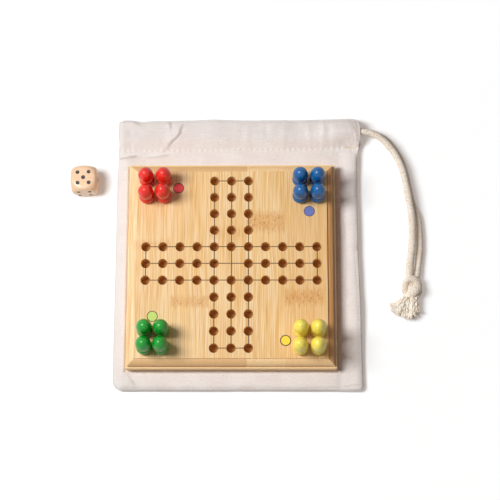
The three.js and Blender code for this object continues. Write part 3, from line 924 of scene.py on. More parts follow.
# For each colour its paint and its pawns: the hole's column and row, and the lean in degrees to +X and to +Y
pawnSets = {
    "red": (
        shade(238, 40, 24),
        [(-5, 5, 0.6, -0.6), (-4, 5, 1.6, -0.5), (-5, 4, 1.2, -1), (-4, 4, 0.3, 0.4)],
    ),
    "blue": (
        shade(0, 94, 160),
        [(4, 5, 0.7, -0.4), (5, 5, 1.2, -0.6), (4, 4, 1.1, -0.8), (5, 4, 1.3, 0.2)],
    ),
    "green": (
        shade(0, 154, 38),
        [(-5, -4, 2.8, 0.2), (-4, -4, 1, -0.2), (-5, -5, 1.8, 1), (-4, -5, 0.3, 1)],
    ),
    "yellow": (
        shade(255, 232, 96),
        [(4, -4, 0.1, 0), (5, -4, 0.1, -0.2), (4, -5, -1.5, -0.4), (5, -5, -0.4, -0.2)],
    ),
}


def pawnProfile():
    peg, head, bead = pawn["pegDiameter"] / 2, pawn["headDiameter"] / 2, pawn["beadDiameter"] / 2
    middle = pawn["beadHeight"] / 2
    foot = sqrt(bead**2 - middle**2)
    chamfer, length, shoulder = pawn["pegChamfer"], pawn["pegLength"], pawn["pegShoulder"]
    profile = [(0, -length), (peg - chamfer, -length), (peg, chamfer - length)]
    profile += [(peg, -shoulder), (peg + shoulder, 0), (foot - pawn["footSoftening"], 0)]
    rise = pawn["footRise"]
    for i in range(13):
        z = rise + (pawn["beadHeight"] - rise) * i / 12 * pawn["beadHeightShare"]
        profile.append((sqrt(bead**2 - (z - middle) ** 2), z))
    headMiddle, lower = pawn["headMiddleHeight"], pawn["headLowerHeight"]
    neck = np.arcsin((headMiddle - pawn["beadHeight"] - pawn["neckStep"]) / lower)
    for i in range(13):
        turn = neck * (1 - i / 12)
        profile.append((head * cos(turn), headMiddle - lower * sin(turn)))
    for i in range(1, 15):
        turn = i * pi / 28
        profile.append((head * cos(turn) if i < 14 else 0, headMiddle + pawn["headTopHeight"] * sin(turn)))
    return profile, foot


def lathe(profile, sides):
    points, faces, rows = [], [], []
    for r, z in profile:
        if r == 0:
            rows.append([len(points)])
            points.append((0, 0, z))
        else:
            rows.append(list(range(len(points), len(points) + sides)))
            points.extend((r * cos(2 * pi * i / sides), r * sin(2 * pi * i / sides), z) for i in range(sides))
    for low, high in zip(rows, rows[1:]):
        for i in range(sides):
            j = (i + 1) % sides
            if len(low) == 1:
                faces.append((low[0], high[j], high[i]))
            elif len(high) == 1:
                faces.append((low[i], low[j], high[0]))
            else:
                faces.append((low[i], low[j], high[j], high[i]))
    return points, faces


lacquerGloss = {"Specular_IOR_Level": 0, "Coat_Weight": 1, "Coat_Roughness": 0.28}


def lacquerMaterial(colour, paint):
    tree = newMaterial(colour + "Lacquer")
    place = objectPlace(tree)
    thin = tree.noise(place, (0.35, 0.35, 0.5), 3, 0.6)
    grain = tree.noise(place, (1.6, 1.6, 0.12), 3, 0.6)
    deeper = tuple(c * 0.85 for c in paint)
    paler = tuple(min(1, c * 1.06 + 0.006) for c in paint)
    shown = tree.blend(thin.ease(0.3, 0.7), deeper, paler)
    shown = tree.blend(grain.ease(0.55, 0.75) * 0.2, shown, deeper)
    return finishMaterial(tree, shown, 0.36 + thin * 0.1, grain * 0.2 + thin * 0.5, 0.003, **lacquerGloss)


profile, foot = pawnProfile()
pawnPoints, pawnFaces = lathe(profile, pawn["sides"])
pivot = board["top"] - pawn["pegLength"] / 2
for colour, (paint, stands) in pawnSets.items():
    lacquer = lacquerMaterial(colour, paint)
    for i, (column, row, leanX, leanY) in enumerate(stands):
        node = f"{colour}_pawn_{i + 1}"
        lean = radians(hypot(leanX, leanY))
        lift = pawn["pegLength"] / 2 + foot * sin(lean) + pawn["seatGap"]
        spin = Matrix.Rotation(2.4 * i + len(colour), 4, "Z")
        stand = Matrix.Translation((column * board["holePitch"], row * board["holePitch"], pivot))
        stand = stand @ Matrix.Rotation(radians(-leanY), 4, "X") @ Matrix.Rotation(radians(leanX), 4, "Y")
        place = stand @ Matrix.Translation((0, 0, lift)) @ spin
        piece = addMesh(f"{colour}Pawn{i + 1}", [place @ Vector(p) for p in pawnPoints], pawnFaces, 38)
        piece.data.materials.append(lacquer)
        dress(piece, node, f"{colour}_lacquer", node)
print("pawns turned")

# Die
die = {
    "size": 18,
    "roundingDiameter": 23.6,
    "centre": (-100.7, 59.7, 9),
    "turnDegrees": 2,
    "pipDiameter": 2.8,
    "pipDepth": 0.5,
    "pipSpacing": 3.8,
    "edgeSoftness": 0.55,
    "divisions": 44,
}
diePips = [
    # the face's own up axis as a turn, and its pips
    ((0, 90, 0), [(0, 0)]),
    ((180, 0, 0), [(-1, -1), (1, 1)]),
    ((-90, 0, 0), [(-1, -1), (0, 0), (1, 1)]),
    ((90, 0, 0), [(-1, -1), (1, -1), (-1, 1), (1, 1)]),
    ((0, 0, 0), [(-1, -1), (1, -1), (0, 0), (-1, 1), (1, 1)]),
    ((0, -90, 0), [(-1, -1), (1, -1), (-1, 0), (1, 0), (-1, 1), (1, 1)]),
]


def dieBlank():
    # A finely divided cube pushed out to the softened meeting of the cube and the ball.
    builder = bmesh.new()
    bmesh.ops.create_cube(builder, size=2)
    bmesh.ops.subdivide_edges(builder, edges=builder.edges[:], cuts=die["divisions"] - 1, use_grid_fill=True)
    half, ball, soft = die["size"] / 2, die["roundingDiameter"] / 2, die["edgeSoftness"]
    for v in builder.verts:
        way = Vector([pi / 4 * c for c in v.co])
        way = Vector([np.tan(c) for c in way]).normalized()
        flat = [half / max(abs(c), 1e-6) for c in way]
        limits = flat + [ball]
        least = min(limits)
        total = sum(np.exp(-min(60, (limit - least) / soft)) for limit in limits)
        v.co = way * (-soft * np.log(total) + least)
    points = [v.co.copy() for v in builder.verts]
    faces = [tuple(v.index for v in f.verts) for f in builder.faces]
    builder.free()
    return points, faces


def pipBallRadius():
    # Of the ball whose cap is as wide and as deep as a pip
    rim, depth = die["pipDiameter"] / 2, die["pipDepth"]
    return (rim**2 + depth**2) / (2 * depth)


def dieTree(tree, given):
    values = {"Geometry": given["Geometry"], "Material": given["Wood"]}
    made = tree.geometry("SetMaterial", values)
    ball = tree.geometry("MeshUVSphere", {"Segments": 32, "Rings": 20, "Radius": given["Radius"]})
    height = die["size"] / 2 + pipBallRadius() - die["pipDepth"]
    pips = []
    for turns, places in diePips:
        turn = Matrix.Rotation(radians(turns[1]), 3, "Y") @ Matrix.Rotation(radians(turns[0]), 3, "X")
        for c, r in places:
            at = turn @ Vector((c * die["pipSpacing"], r * die["pipSpacing"], height)) * mm
            pips.append(tree.geometry("Transform", {"Geometry": ball, "Translation": tuple(at)}))
    joined = tree.geometry("JoinGeometry", {0: pips})
    joined = tree.geometry("SetMaterial", {"Geometry": joined, "Material": given["Pip"]})
    made = tree.node("GeometryNodeMeshBoolean", {"solver": "MANIFOLD"}, {0: made, 1: joined})
    return tree.geometry("RealizeInstances", [made])


def dieWoodMaterial():
    tree = newMaterial("dieWood")
    place = objectPlace(tree)
    rings = tree.noise(place, (0.22, 0.9, 1.3), 3, 0.6)
    fine = tree.noise(place, (0.5, 3.2, 3.6), 2, 0.6)
    stops = [(0.3, shade(236, 188, 142)), (0.5, shade(244, 206, 168)), (0.7, shade(250, 220, 190))]
    colour = tree.node("ShaderNodeValToRGB", {"stops": stops}, [rings * 0.6 + fine * 0.4])
    return finishMaterial(tree, colour, 0.42, fine, 0.03, Coat_Weight=0.3, Coat_Roughness=0.25)


def pipMaterial():
    tree = newMaterial("pipPaint")
    place = objectPlace(tree)
    worn = tree.noise(place, 2, 3, 0.6)
    colour = tree.blend(worn.ease(0.4, 0.8), shade(46, 38, 34), shade(72, 62, 56))
    return finishMaterial(tree, colour, 0.4, worn, 0.03)


diePoints, dieFaces = dieBlank()
diePiece = addMesh("dieWood", diePoints, dieFaces)
dieValues = {"Radius": pipBallRadius() * mm, "Wood": dieWoodMaterial(), "Pip": pipMaterial()}
runGroup(diePiece, "diePips", dieTree, dieValues)
dieTurn = Matrix.Rotation(radians(die["turnDegrees"]), 4, "Z")
diePiece.data.transform(Matrix.Translation(Vector(die["centre"]) * mm) @ dieTurn)
diePiece.data.shade_smooth()
diePiece.data.set_sharp_from_angle(angle=radians(30))
dress(diePiece, "die", "die_wood", "die")
print("die cut", [m.name for m in diePiece.data.materials])

# Bag: two cotton panels sewn at the sides and the near edge, with a casing along the far edge
bag = {
    "left": -78.6,
    "right": 87.15,
    "near": -83.25,
    "far": 104.9,
    "nearCornerRadii": (7, 3),
    "farCornerRadius": 2.5,
    "cloth": 0.6,
    "threadPitch": 0.62,
    "layer": 0.64,
    "stitchLine": 84.7,
    "flapEnd": 82.6,
    "offTable": 0.02,
    "underBoard": 1.15,
    "seamHeight": 1.65,
    "seamRise": 3.0,
    "roundingWidth": 4,
    "underRoundingWidth": 3,
    "underRoundingMoreRight": 6,
    "mouthWidth": 11,
    "mouthBlend": 3,
    "foldDrop": 0.55,
    "foldHollowPlace": 0.9,
    "foldHollowWidth": 0.6,
    "foldHollowShare": 0.4,
    "stitchPitch": 3.8,
    "pucker": 0.14,
    "puckerWidth": 2.5,
    "casingSwellWidth": 4,
    "casingRunOut": 9,
    "farRunFrom": 88,
    "stitchRunFrom": 72,
    "nearShift": 0.15,
    "puff": 2.9,
    "puffMoreLeft": 0.6,
    "puffMoreNear": 0.3,
    "puffLessRight": 0.3,
    "puffRightRoll": 2.6,
    "casingSeamRise": 1.3,
    "seed": 3,
}
# Uneven rises of the cloth: height, size across
wrinkles = {
    "rim": (0.22, 14),
    "flat": (0.25, 12),
    "small": (0.1, 5),
    "casing": (0.3, 7),
    "casingSmall": (0.12, 3.2),
    "edge": (0.12, 9),
}
# Where the cloth's form changes, from and to, along X or Y or outwards from the board
bands = {
    "left": (60, 72),
    "leftEdge": (71.5, 78.6),
    "right": (60, 76),
    "rightRoll": (72, 84),
    "rightSeam": (60, 84),
    "near": (60, 72),
    "nearRight": (-70, -30),
    "farSeam": (84, 90),
    "stackedCords": (45, 82),
    "mouth": (86, 89),
    "clearOfBoard": (0.1, 2.2),
    "leftRun": (70, 78.6),
    "rightRun": (70, 87),
    "nearRun": (70, 83),
    "sideWobble": (70, 80),
    "endWobble": (74, 83),
}
# Heights of the casing's layers along Y: over most of the bag, and at the right where the cords lie stacked
casing = {
    "top": (
        [(82, 3.2), (84.7, 3.1), (86.8, 4.2), (89.5, 5.9), (92, 6.7), (96, 7.1), (100, 7.2), (103.6, 6.9),
         (104.9, 5.6)],
        [(82, 3.4), (84.7, 3.2), (86.8, 5.6), (90, 9.6), (93, 11.8), (96, 12), (99.5, 11.2), (103, 9.6),
         (104.9, 7.6)],
    ),
    "frontFlap": (
        [(82.6, 1.9), (90.5, 1.9), (93, 2.4), (97, 4.9), (99.5, 5.7), (104.9, 4)],
        [(82.6, 1.9), (86.5, 3.2), (91, 6.4), (96, 6.75), (101, 6.9), (104.9, 6.9)],
    ),
    "backFlap": (
        [(82.6, 1.25), (90.5, 1.25), (93, 1.75), (97, 4.25), (99.5, 5.25), (104.9, 2.25)],
        [(82.6, 1.25), (86.5, 2.5), (91, 5.75), (96, 6.1), (101, 5.6), (104.9, 3.2)],
    ),
}
# Where the real edges run off the straight, in millimetres
edgeRun = {
    "right": [
        (-83, 0), (-76, -0.2), (-59, -0.3), (-42, -0.6), (-26, -0.7), (-9, -1.3), (8, -1.8), (25, -1.9),
        (50, -2), (66, -1.8), (74, -1.5), (80, -1.5), (84, -1), (87, 0.2), (91, 0.8), (96, 0.8),
        (101, 0.4), (104.9, -0.4),
    ],
    "left": [
        (-83, 0), (66, 0), (72, 0.6), (90, 0.6), (96, 0), (105, 0),
    ],
    "far": [
        (-78.6, -1.3), (-74, -1.3), (-68.5, -1.4), (-62.5, -2.4), (-56.5, -1.7), (-40, -1.6), (-25, -1.2),
        (-12.5, -0.5), (-6, -1), (0, -1.1), (8, -1.6), (45, -1.4), (56, -1.2), (68, -1.3), (82, -1.3),
        (87, -1.6),
    ],
    "stitch": [
        (-78.6, -1.8), (-55, -1.8), (-40, -1.6), (0, -1.2), (50, -0.8), (64, -0.7), (72, 0), (78, 0.9),
        (82, 0.4), (87, -0.9),
    ],
}
# Folds: a line of points, the rise on its right in millimetres, and how far that reaches
folds = [
    ([(-34.5, 101.7), (-36, 98.6), (-36.4, 95.8), (-38.6, 93), (-42.4, 90), (-45.8, 85.2)], 1.25, 3),
    ([(-43.3, 103.4), (-43, 99.4)], 1, 2.2),
    ([(-73, 104.6), (-68, 104), (-64.8, 102.8)], 1, 2.4),
    ([(-78, 78.3), (-73.6, 78.9), (-66.6, 80.4)], 1.7, 2.8),
    ([(-61.5, 77.2), (-58, 79), (-51.5, 79.9), (-44.8, 81.4)], 1.1, 3),
    ([(54, 80.4), (64, 79.6), (74, 79.8), (83, 80.6)], 0.6, 2.4),
    ([(50, 76.8), (62, 76.4), (72, 77), (80, 76.6)], 0.35, 1.6),
    ([(-69.4, -73), (-64.5, -79.5)], 0.6, 2.5),
    ([(-61, -70.5), (-55.5, -75)], 0.5, 2.5),
    ([(81.6, 103.2), (82.2, 99.5), (83, 95.4), (84.6, 90.2), (85.7, 87.8), (86.2, 85.7)], 0.4, 1.6),
]
# Painted shade in the cloth's creases and folds, with dark lines along the seams at the right and near edges,
# drawn only in colour: a line of points, half width in millimetres, strength
creaseShades = [
    ([(-34.2, 101.9), (-35.6, 98.6), (-36.2, 95.8), (-38.4, 92.6), (-42.4, 89.6)], 0.7, 0.24),
    ([(-42.4, 89.6), (-45.2, 86.8), (-47, 84.4)], 0.9, 0.2),
    ([(-43.3, 103.4), (-43, 99.4)], 0.7, 0.22),
    ([(-76, 104.2), (-70, 103.9), (-64.8, 102.4)], 0.7, 0.16),
    ([(-78, 77.9), (-73.6, 78.3), (-66.6, 79.8)], 0.9, 0.36),
    ([(-61.5, 76.6), (-58, 78.3), (-51.5, 79.2), (-44.8, 80.8)], 1, 0.2),
    ([(80.2, 103.4), (81, 99.5), (81.6, 95.4), (82.6, 90.2), (83.4, 86.6)], 0.55, 0.3),
    ([(84.3, 102.6), (84.9, 98.5), (85.2, 94), (85.8, 89)], 0.8, 0.5),
    ([(77.6, 99), (78.4, 93), (80.6, 87)], 0.5, 0.2),
    ([(84.4, 30), (84.4, 5), (84.8, -25), (85.2, -60), (85.4, -80)], 0.5, 0.18),
    ([(86.6, 86), (86.2, 70), (86, 52), (86.2, 30), (86.4, 12)], 0.7, 0.4),
    ([(-73, -81.4), (-40, -81.6), (0, -81.5), (45, -81.6), (74, -81), (85.4, -79.6)], 0.45, 0.22),
    ([(72, 40), (73, 20), (72.4, 4)], 1.6, 0.12),
    ([(77, 30), (78.4, 6), (77.6, -20)], 1.3, 0.1),
    ([(-69.4, -73), (-64.5, -79.5)], 0.9, 0.14),
    ([(71, -73.5), (70.4, -82.5)], 1.4, 0.14),
]
# Soft rises and hollows: place, half sizes, height, turn in degrees
swells = [
    ((-64.6, 96.4), (2.4, 1.6), -0.5, 0),
    ((-70.2, 96), (1.8, 2.2), -0.5, 0),
    ((-70.4, 88.2), (2.2, 2.2), -0.55, 0),
    ((-61, 93), (5, 3), 0.35, 20),
    ((10.4, 95), (2, 9), 0.35, 0),
    ((23.8, 96), (2.4, 8), -0.35, 4),
    ((35.8, 94), (2.2, 9), 0.35, -4),
    ((52.5, 96), (1.8, 7), 0.5, 3),
    ((62.5, 97), (1.6, 6), 0.5, -3),
    ((66.5, 95), (2, 8), -0.5, -4),
]


def easeStep(value, low, high):
    share = np.clip((value - low) / (high - low), 0, 1)
    return share * share * (3 - 2 * share)


def softCurve(knots, blur):
    # The line through the knots with its corners rounded over.
    at, level = np.array(knots, float).T
    step = 0.1
    places = np.arange(at[0] - 6 * blur, at[-1] + 6 * blur, step)
    reach = np.arange(-3 * blur, 3 * blur + step / 2, step)
    weights = np.exp(-((reach / blur) ** 2))
    smooth = np.convolve(np.interp(places, at, level), weights / weights.sum(), mode="same")
    return lambda values: np.interp(np.clip(values, at[0], at[-1]), places, smooth)


casingCurves = {name: [softCurve(knots, 0.8) for knots in pair] for name, pair in casing.items()}
edgeCurves = {name: softCurve(knots, 1.6) for name, knots in edgeRun.items()}


def layerHeight(name, x, y):
    low, high = casingCurves[name]
    rise = easeStep(x, *bands["stackedCords"])
    return low(y) + (high(y) - low(y)) * rise


def swell(x, y, at, size, height, turn=0):
    c, s = cos(radians(turn)), sin(radians(turn))
    dx, dy = x - at[0], y - at[1]
    u, v = (c * dx + s * dy) / size[0], (-s * dx + c * dy) / size[1]
    return height * np.exp(-(u * u + v * v))


def nearLine(x, y, line):
    # Each point's distance from a line, that distance with a sign (+ on its right), and how far along it is.
    nearest = np.full(np.shape(x), 1e9)
    signed, along = np.zeros(np.shape(x)), np.zeros(np.shape(x))
    for i, ((ax, ay), (bx, by)) in enumerate(zip(line, line[1:])):
        sx, sy = bx - ax, by - ay
        share = np.clip(((x - ax) * sx + (y - ay) * sy) / (sx * sx + sy * sy), 0, 1)
        dx, dy = x - ax - share * sx, y - ay - share * sy
        away = np.hypot(dx, dy)
        closer = away < nearest
        side = np.where(sx * dy - sy * dx > 0, -1.0, 1.0)
        nearest = np.where(closer, away, nearest)
        signed = np.where(closer, away * side, signed)
        along = np.where(closer, (i + share) / (len(line) - 1), along)
    return nearest, signed, along


def foldHeight(x, y, line, height, width):
    # Rises towards the line from its right and drops off behind it.
    nearest, signed, along = nearLine(x, y, line)
    taper = np.sin(pi * np.clip(along, 0.04, 0.96)) ** 0.6
    risen = np.exp(-((nearest / np.where(signed > 0, width, bag["foldDrop"])) ** 2))
    hollow = np.exp(-(((nearest - bag["foldHollowPlace"]) / bag["foldHollowWidth"]) ** 2))
    return height * taper * (risen - bag["foldHollowShare"] * np.where(signed < 0, hollow, 0))


def creaseShadeShare(x, y):
    # How much of the painted crease shade and seam lines each point gets, 0 to 1.
    total = np.zeros(np.shape(x))
    uneven = 1 + 0.5 * softNoise(41, [x, y], 4)
    for line, width, strength in creaseShades:
        nearest = nearLine(x, y, line)[0]
        total = np.maximum(total, strength * uneven * np.exp(-((nearest / width) ** 2)))
    return np.clip(total, 0, 1)


def sideRoom(x, y):
    # How far a point lies inside the sewn edges, in the rounded corners too.
    inX = np.minimum(x - bag["left"], bag["right"] - x)
    inY = y - bag["near"]
    radius = np.where(x < 0, *bag["nearCornerRadii"])
    cornerX, cornerY = np.minimum(inX - radius, 0), np.minimum(inY - radius, 0)
    inCorner = (cornerX < 0) & (cornerY < 0)
    return np.where(inCorner, radius - np.hypot(cornerX, cornerY), np.minimum(inX, inY))


def rounding(room, width):
    return np.sqrt(np.clip(1 - (1 - np.clip(room / width, 0, 1)) ** 2, 0, 1))


def mouthShare(x, y):
    # The casing is open at its right end.
    mouth, blend = bag["right"] - bag["mouthWidth"], bag["mouthBlend"]
    return easeStep(x, mouth - blend, mouth + blend) * easeStep(y, *bands["mouth"])


def rightRise(y):
    return 0.5 + 0.5 * easeStep(y, *bands["nearRight"])


def wrinkle(name, seed, x, y):
    height, size = wrinkles[name]
    return height * softNoise(bag["seed"] + seed, [x, y], size)


def rimHeight(x, y):
    # The sewn edge stands up off the table at the right.
    rise = easeStep(x, *bands["rightSeam"]) * rightRise(y)
    farRise = bag["casingSeamRise"] * easeStep(y, *bands["farSeam"])
    return bag["seamHeight"] + bag["seamRise"] * rise + farRise + wrinkle("rim", 5, x, y)


def puffHeight(x, y):
    # The cloth round the board stands up in a soft roll.
    left = easeStep(-x, *bands["left"]) * (bag["puffMoreLeft"] - easeStep(-x, *bands["leftEdge"]))
    roll = bag["puffRightRoll"] * easeStep(x, *bands["rightRoll"]) * rightRise(y)
    right = easeStep(x, *bands["right"]) * (roll - bag["puffLessRight"])
    return bag["puff"] + left + easeStep(-y, *bands["near"]) * bag["puffMoreNear"] + right


def frontHeight(x, y):
    stitchLine = bag["stitchLine"]
    outside = np.maximum(np.abs(x), np.abs(y)) - board["side"] / 2
    clear = easeStep(outside, *bands["clearOfBoard"])
    uneven = wrinkle("flat", 0, x, y) + wrinkle("small", 1, x, y)
    z = bag["underBoard"] + clear * (puffHeight(x, y) - bag["underBoard"] + uneven)
    swollen = easeStep(y, stitchLine, stitchLine + bag["casingSwellWidth"])
    soft = wrinkle("casing", 2, x, 0.25 * y) + wrinkle("casingSmall", 3, x, y)
    wave = np.sin(2 * pi * x / bag["stitchPitch"])
    pucker = bag["pucker"] * wave * np.exp(-(((y - stitchLine) / bag["puckerWidth"]) ** 2))
    top = layerHeight("top", x, y) + swollen * soft + (1 - swollen) * 0.5 * uneven + pucker
    z = z + (top - z) * easeStep(y, stitchLine - bag["casingRunOut"], stitchLine)
    for line, height, width in folds:
        z = z + clear * foldHeight(x, y, line, height, width)
    for at, size, height, turn in swells:
        z = z + swell(x, y, at, size, height, turn)
    share = rounding(sideRoom(x, y), bag["roundingWidth"])
    share = share + (1 - share) * mouthShare(x, y)
    rim = rimHeight(x, y)
    return rim + (z - rim) * share


def frontFlap(x, y):
    return np.minimum(layerHeight("frontFlap", x, y), frontHeight(x, y) - bag["layer"])


def backFlap(x, y):
    return np.minimum(layerHeight("backFlap", x, y), frontFlap(x, y) - bag["layer"])


def backHeight(x, y):
    floorLevel = bag["cloth"] / 2 + bag["offTable"]
    rim = rimHeight(x, y) - bag["layer"] * (1 + 2 * easeStep(y, *bands["farSeam"]))
    more = bag["underRoundingMoreRight"] * easeStep(x, *bands["rightSeam"])
    width = bag["underRoundingWidth"] + more
    lift = (1 - rounding(sideRoom(x, y), width)) * (1 - mouthShare(x, y))
    return floorLevel + (rim - floorLevel) * lift


def outlineShift(x, y):
    # Moves the edges onto their real lines.
    stitchLine, farEdge = bag["stitchLine"], bag["far"]
    height, size = wrinkles["edge"]
    right = edgeCurves["right"](y) * easeStep(x, *bands["rightRun"])
    left = edgeCurves["left"](y) * easeStep(-x, *bands["leftRun"])
    wobble = height * softNoise(31, [y], size) * easeStep(np.abs(x), *bands["sideWobble"])
    dx = right + left + wobble
    far = edgeCurves["far"](x) * easeStep(y, bag["farRunFrom"], farEdge)
    stitched = easeStep(y, bag["stitchRunFrom"], stitchLine) * (1 - easeStep(y, stitchLine, farEdge))
    near = bag["nearShift"] * easeStep(-y, *bands["nearRun"])
    wobble = height * softNoise(32, [x], size) * easeStep(np.abs(y), *bands["endWobble"])
    dy = far + edgeCurves["stitch"](x) * stitched + near + wobble
    return dx, dy


def gridLines(stops):
    # Lines through the given places, each stretch with its own step.
    lines = [stops[0][0]]
    for (start, step), (end, _) in zip(stops, stops[1:]):
        count = max(1, round((end - start) / step))
        lines.extend(start + (end - start) * (i + 1) / count for i in range(count))
    return np.array(lines)


def columnEnds(y):
    # The left and right ends of a row, drawn in at the rounded corners.
    ends = []
    for radius in bag["nearCornerRadii"]:
        pull = np.zeros_like(y)
        for edge, size, sign in ((bag["near"], radius, 1), (bag["far"], bag["farCornerRadius"], -1)):
            inside = np.clip(size - sign * (y - edge), 0, size)
            pull = np.maximum(pull, size - np.sqrt(np.maximum(size**2 - inside**2, 0)))
        ends.append(pull)
    return bag["left"] + ends[0], bag["right"] - ends[1]


def panel(name, height, flap):
    # The flat part and, from the far edge back, the flap folded under or over it; UV follows the cloth.
    # Each stretch of the mesh: where it starts, and the step in it, finer at the edges and in the casing
    xs = gridLines([(bag["left"], 0.6), (-68, 1), (68, 0.62), (bag["right"], 1)])
    ys = gridLines([(bag["near"], 0.7), (-68, 1.6), (68, 0.72), (83, 0.55), (bag["far"], 1)])
    columns = (xs - xs[0]) / (xs[-1] - xs[0])
    left, right = columnEnds(ys)
    points, places, creaseShaded = [], [], []

    def addRow(x, y, z, run, outside=1):
        row = np.full_like(x, y)
        dx, dy = outlineShift(x, row)
        points.append(np.stack([x + dx, row + dy, z], axis=1))
        places.append(np.stack([x, np.full_like(x, run)], axis=1))
        creaseShaded.append(creaseShadeShare(x, row) * outside)

    for y, start, end in zip(ys, left, right):
        x = start + (end - start) * columns
        addRow(x, y, height(x, np.full_like(x, y)), y)
    far = np.full_like(x, bag["far"])
    upper, lower = height(x, far), flap(x, far)
    run = bag["far"]
    dx, dy = outlineShift(x, far)
    for share in (0.15, 0.35, 0.5, 0.65, 0.85):
        run += 0.3
        bulge = np.minimum(0.5 * np.abs(upper - lower), 0.5) * sin(pi * share)
        z = upper + (lower - upper) * (1 - cos(pi * share)) / 2
        points.append(np.stack([x + dx, far + bulge + dy, z], axis=1))
        places.append(np.stack([x, np.full_like(x, run)], axis=1))
        creaseShaded.append(np.zeros_like(x))
    for y in gridLines([(bag["flapEnd"], 0.8), (bag["far"], 1)])[::-1]:
        row = np.full_like(x, y)
        addRow(x, y, flap(x, row), run + bag["far"] - y, 0)
    n = len(columns)
    starts = [r * n + c for r in range(len(points) - 1) for c in range(n - 1)]
    faces = [(s, s + 1, s + n + 1, s + n) for s in starts]
    made = addMesh(name, np.concatenate(points), faces)
    addAttribute(made.data, "crease", np.concatenate(creaseShaded))
    layer = made.data.uv_layers.new(name="weave")
    corners = np.zeros(len(made.data.loops), np.int32)
    made.data.loops.foreach_get("vertex_index", corners)
    layer.data.foreach_set("uv", (np.concatenate(places) * mm)[corners].astype(np.float32).ravel())
    thick = made.modifiers.new("thickness", "SOLIDIFY")
    thick.thickness = bag["cloth"] * mm
    thick.offset = 0
    applyModifiers(made)
    made.data.shade_smooth()
    return made


def clothMaterial(name, followsCloth):
    tree = newMaterial(name)
    if followsCloth:
        uv = tree.node("ShaderNodeUVMap", {"uv_map": "weave"})
        place = tree.stretched(uv, 1000)
    else:
        place = objectPlace(tree)
    u, v, _ = place.split()
    bend = (tree.noise(place, 0.25, 2) - 0.5) * 0.8
    warp = ((u + bend) * (2 * pi / bag["threadPitch"])).sine()
    weft = ((v - bend) * (2 * pi / bag["threadPitch"])).sine()
    weave = (warp * weft) * 0.5 + 0.5
    slubU = tree.noise(place, (0.09, 1.9, 1), 2, 0.7)
    slubV = tree.noise(place, (1.9, 0.09, 1), 2, 0.7)
    mottle = tree.noise(place, 0.8, 3, 0.75)
    broad = tree.noise(place, 0.07, 3)
    speck = tree.cells(place, 0.16)
    across, _, _ = objectPlace(tree).split()
    colour = tree.coats(
        tree.blend(broad.ease(0.32, 0.68), shade(248, 242, 240), shade(242, 234, 231)),
        (slubU.ease(0.5, 0.72) * 0.4, 222, 209, 200),
        (slubV.ease(0.52, 0.74) * 0.35, 222, 209, 200),
        (mottle.ease(0.42, 0.72) * 0.4, 224, 211, 202),
        (mottle.ease(0.3, 0.48) * -0.35 + 0.35, 248, 243, 240),
        (weave * 0.1, 208, 192, 180),
        ((1 - speck.ease(0.03, 0.09)) * 0.45, 190, 160, 136),
        ((across * -1).ease(30, 76) * 0.45, 236, 230, 226),  # painted shade, a little darker towards the left where the lamp is nearest
        (v.ease(bag["far"] - 1.6, bag["far"] - 0.3) * 0.7, 255, 253, 251),  # painted light, pale at the far edge where the cloth turns over
        # painted shade, a shade darker over the casing
        (v.ease(bag["stitchLine"] - 2, bag["stitchLine"] + 1) * 0.05, 200, 184, 172),
    )
    if followsCloth:
        # painted shade in the creases, and the dark seam lines
        crease = tree.node("ShaderNodeAttribute", {"attribute_name": "crease"}, (), "Fac")
        colour = tree.coats(colour, (crease, 176, 150, 130))
    height = weave * 0.5 + slubU * 0.5 + slubV * 0.5 + mottle * 0.5
    return finishMaterial(tree, colour, 0.96, height, 0.14, Sheen_Weight=0.1, Sheen_Roughness=0.5)


bagCotton = clothMaterial("bagCotton", True)
frontPanel = panel("bagFrontCloth", frontHeight, frontFlap)
backPanel = panel("bagBackCloth", backHeight, backFlap)
for piece, node in ((frontPanel, "bag_front_panel"), (backPanel, "bag_back_panel")):
    piece.data.materials.append(bagCotton)
    dress(piece, "bag", "bag_cotton", node)
print("bag cut", len(frontPanel.data.polygons), len(backPanel.data.polygons))

# Seam: the rolled edge that joins the panels, and the threads that came loose at the casing's mouth
seam = {
    "diameter": 1.25,
    "step": 1.5,
    "farEnd": 87,
    "reachInwards": 80,
    "looseThreads": 13,
    "looseDiameter": 0.3,
    # ranges along X, Y and Z of where a loose thread starts and which way it goes
    "looseStart": ((85.6, 87.6), (85, 90), (2.6, 5.2)),
    "looseWay": ((0.1, 0.9), (-0.9, 0.5), (-0.2, 0.35)),
    "looseLength": (1.8, 4.6),
    "looseCurl": 0.7,
    "lowest": 0.6,
    "seed": 8,
}
seamCotton = clothMaterial("seamCotton", False)


def seamRoute():
    halves = []
    for edge, sign, radius in zip((bag["left"], bag["right"]), (1, -1), bag["nearCornerRadii"]):
        y = np.arange(seam["farEnd"], bag["near"] + radius, -seam["step"])
        down = np.stack([np.full_like(y, edge), y], axis=1)
        turn = np.linspace(0, pi / 2, 8)
        ends = [edge + sign * radius * (1 - np.cos(turn)), bag["near"] + radius * (1 - np.sin(turn))]
        x = edge + sign * np.arange(radius + seam["step"], seam["reachInwards"], seam["step"])
        across = np.stack([x, np.full_like(x, bag["near"])], axis=1)
        halves.append(np.concatenate([down, np.stack(ends, axis=1), across]))
    x, y = np.concatenate([halves[0], halves[1][::-1]]).T
    dx, dy = outlineShift(x, y)
    z = (frontHeight(x, y) + backHeight(x, y)) / 2
    return np.stack([x + dx, y + dy, np.maximum(z, seam["diameter"] / 2 + bag["offTable"])], axis=1)


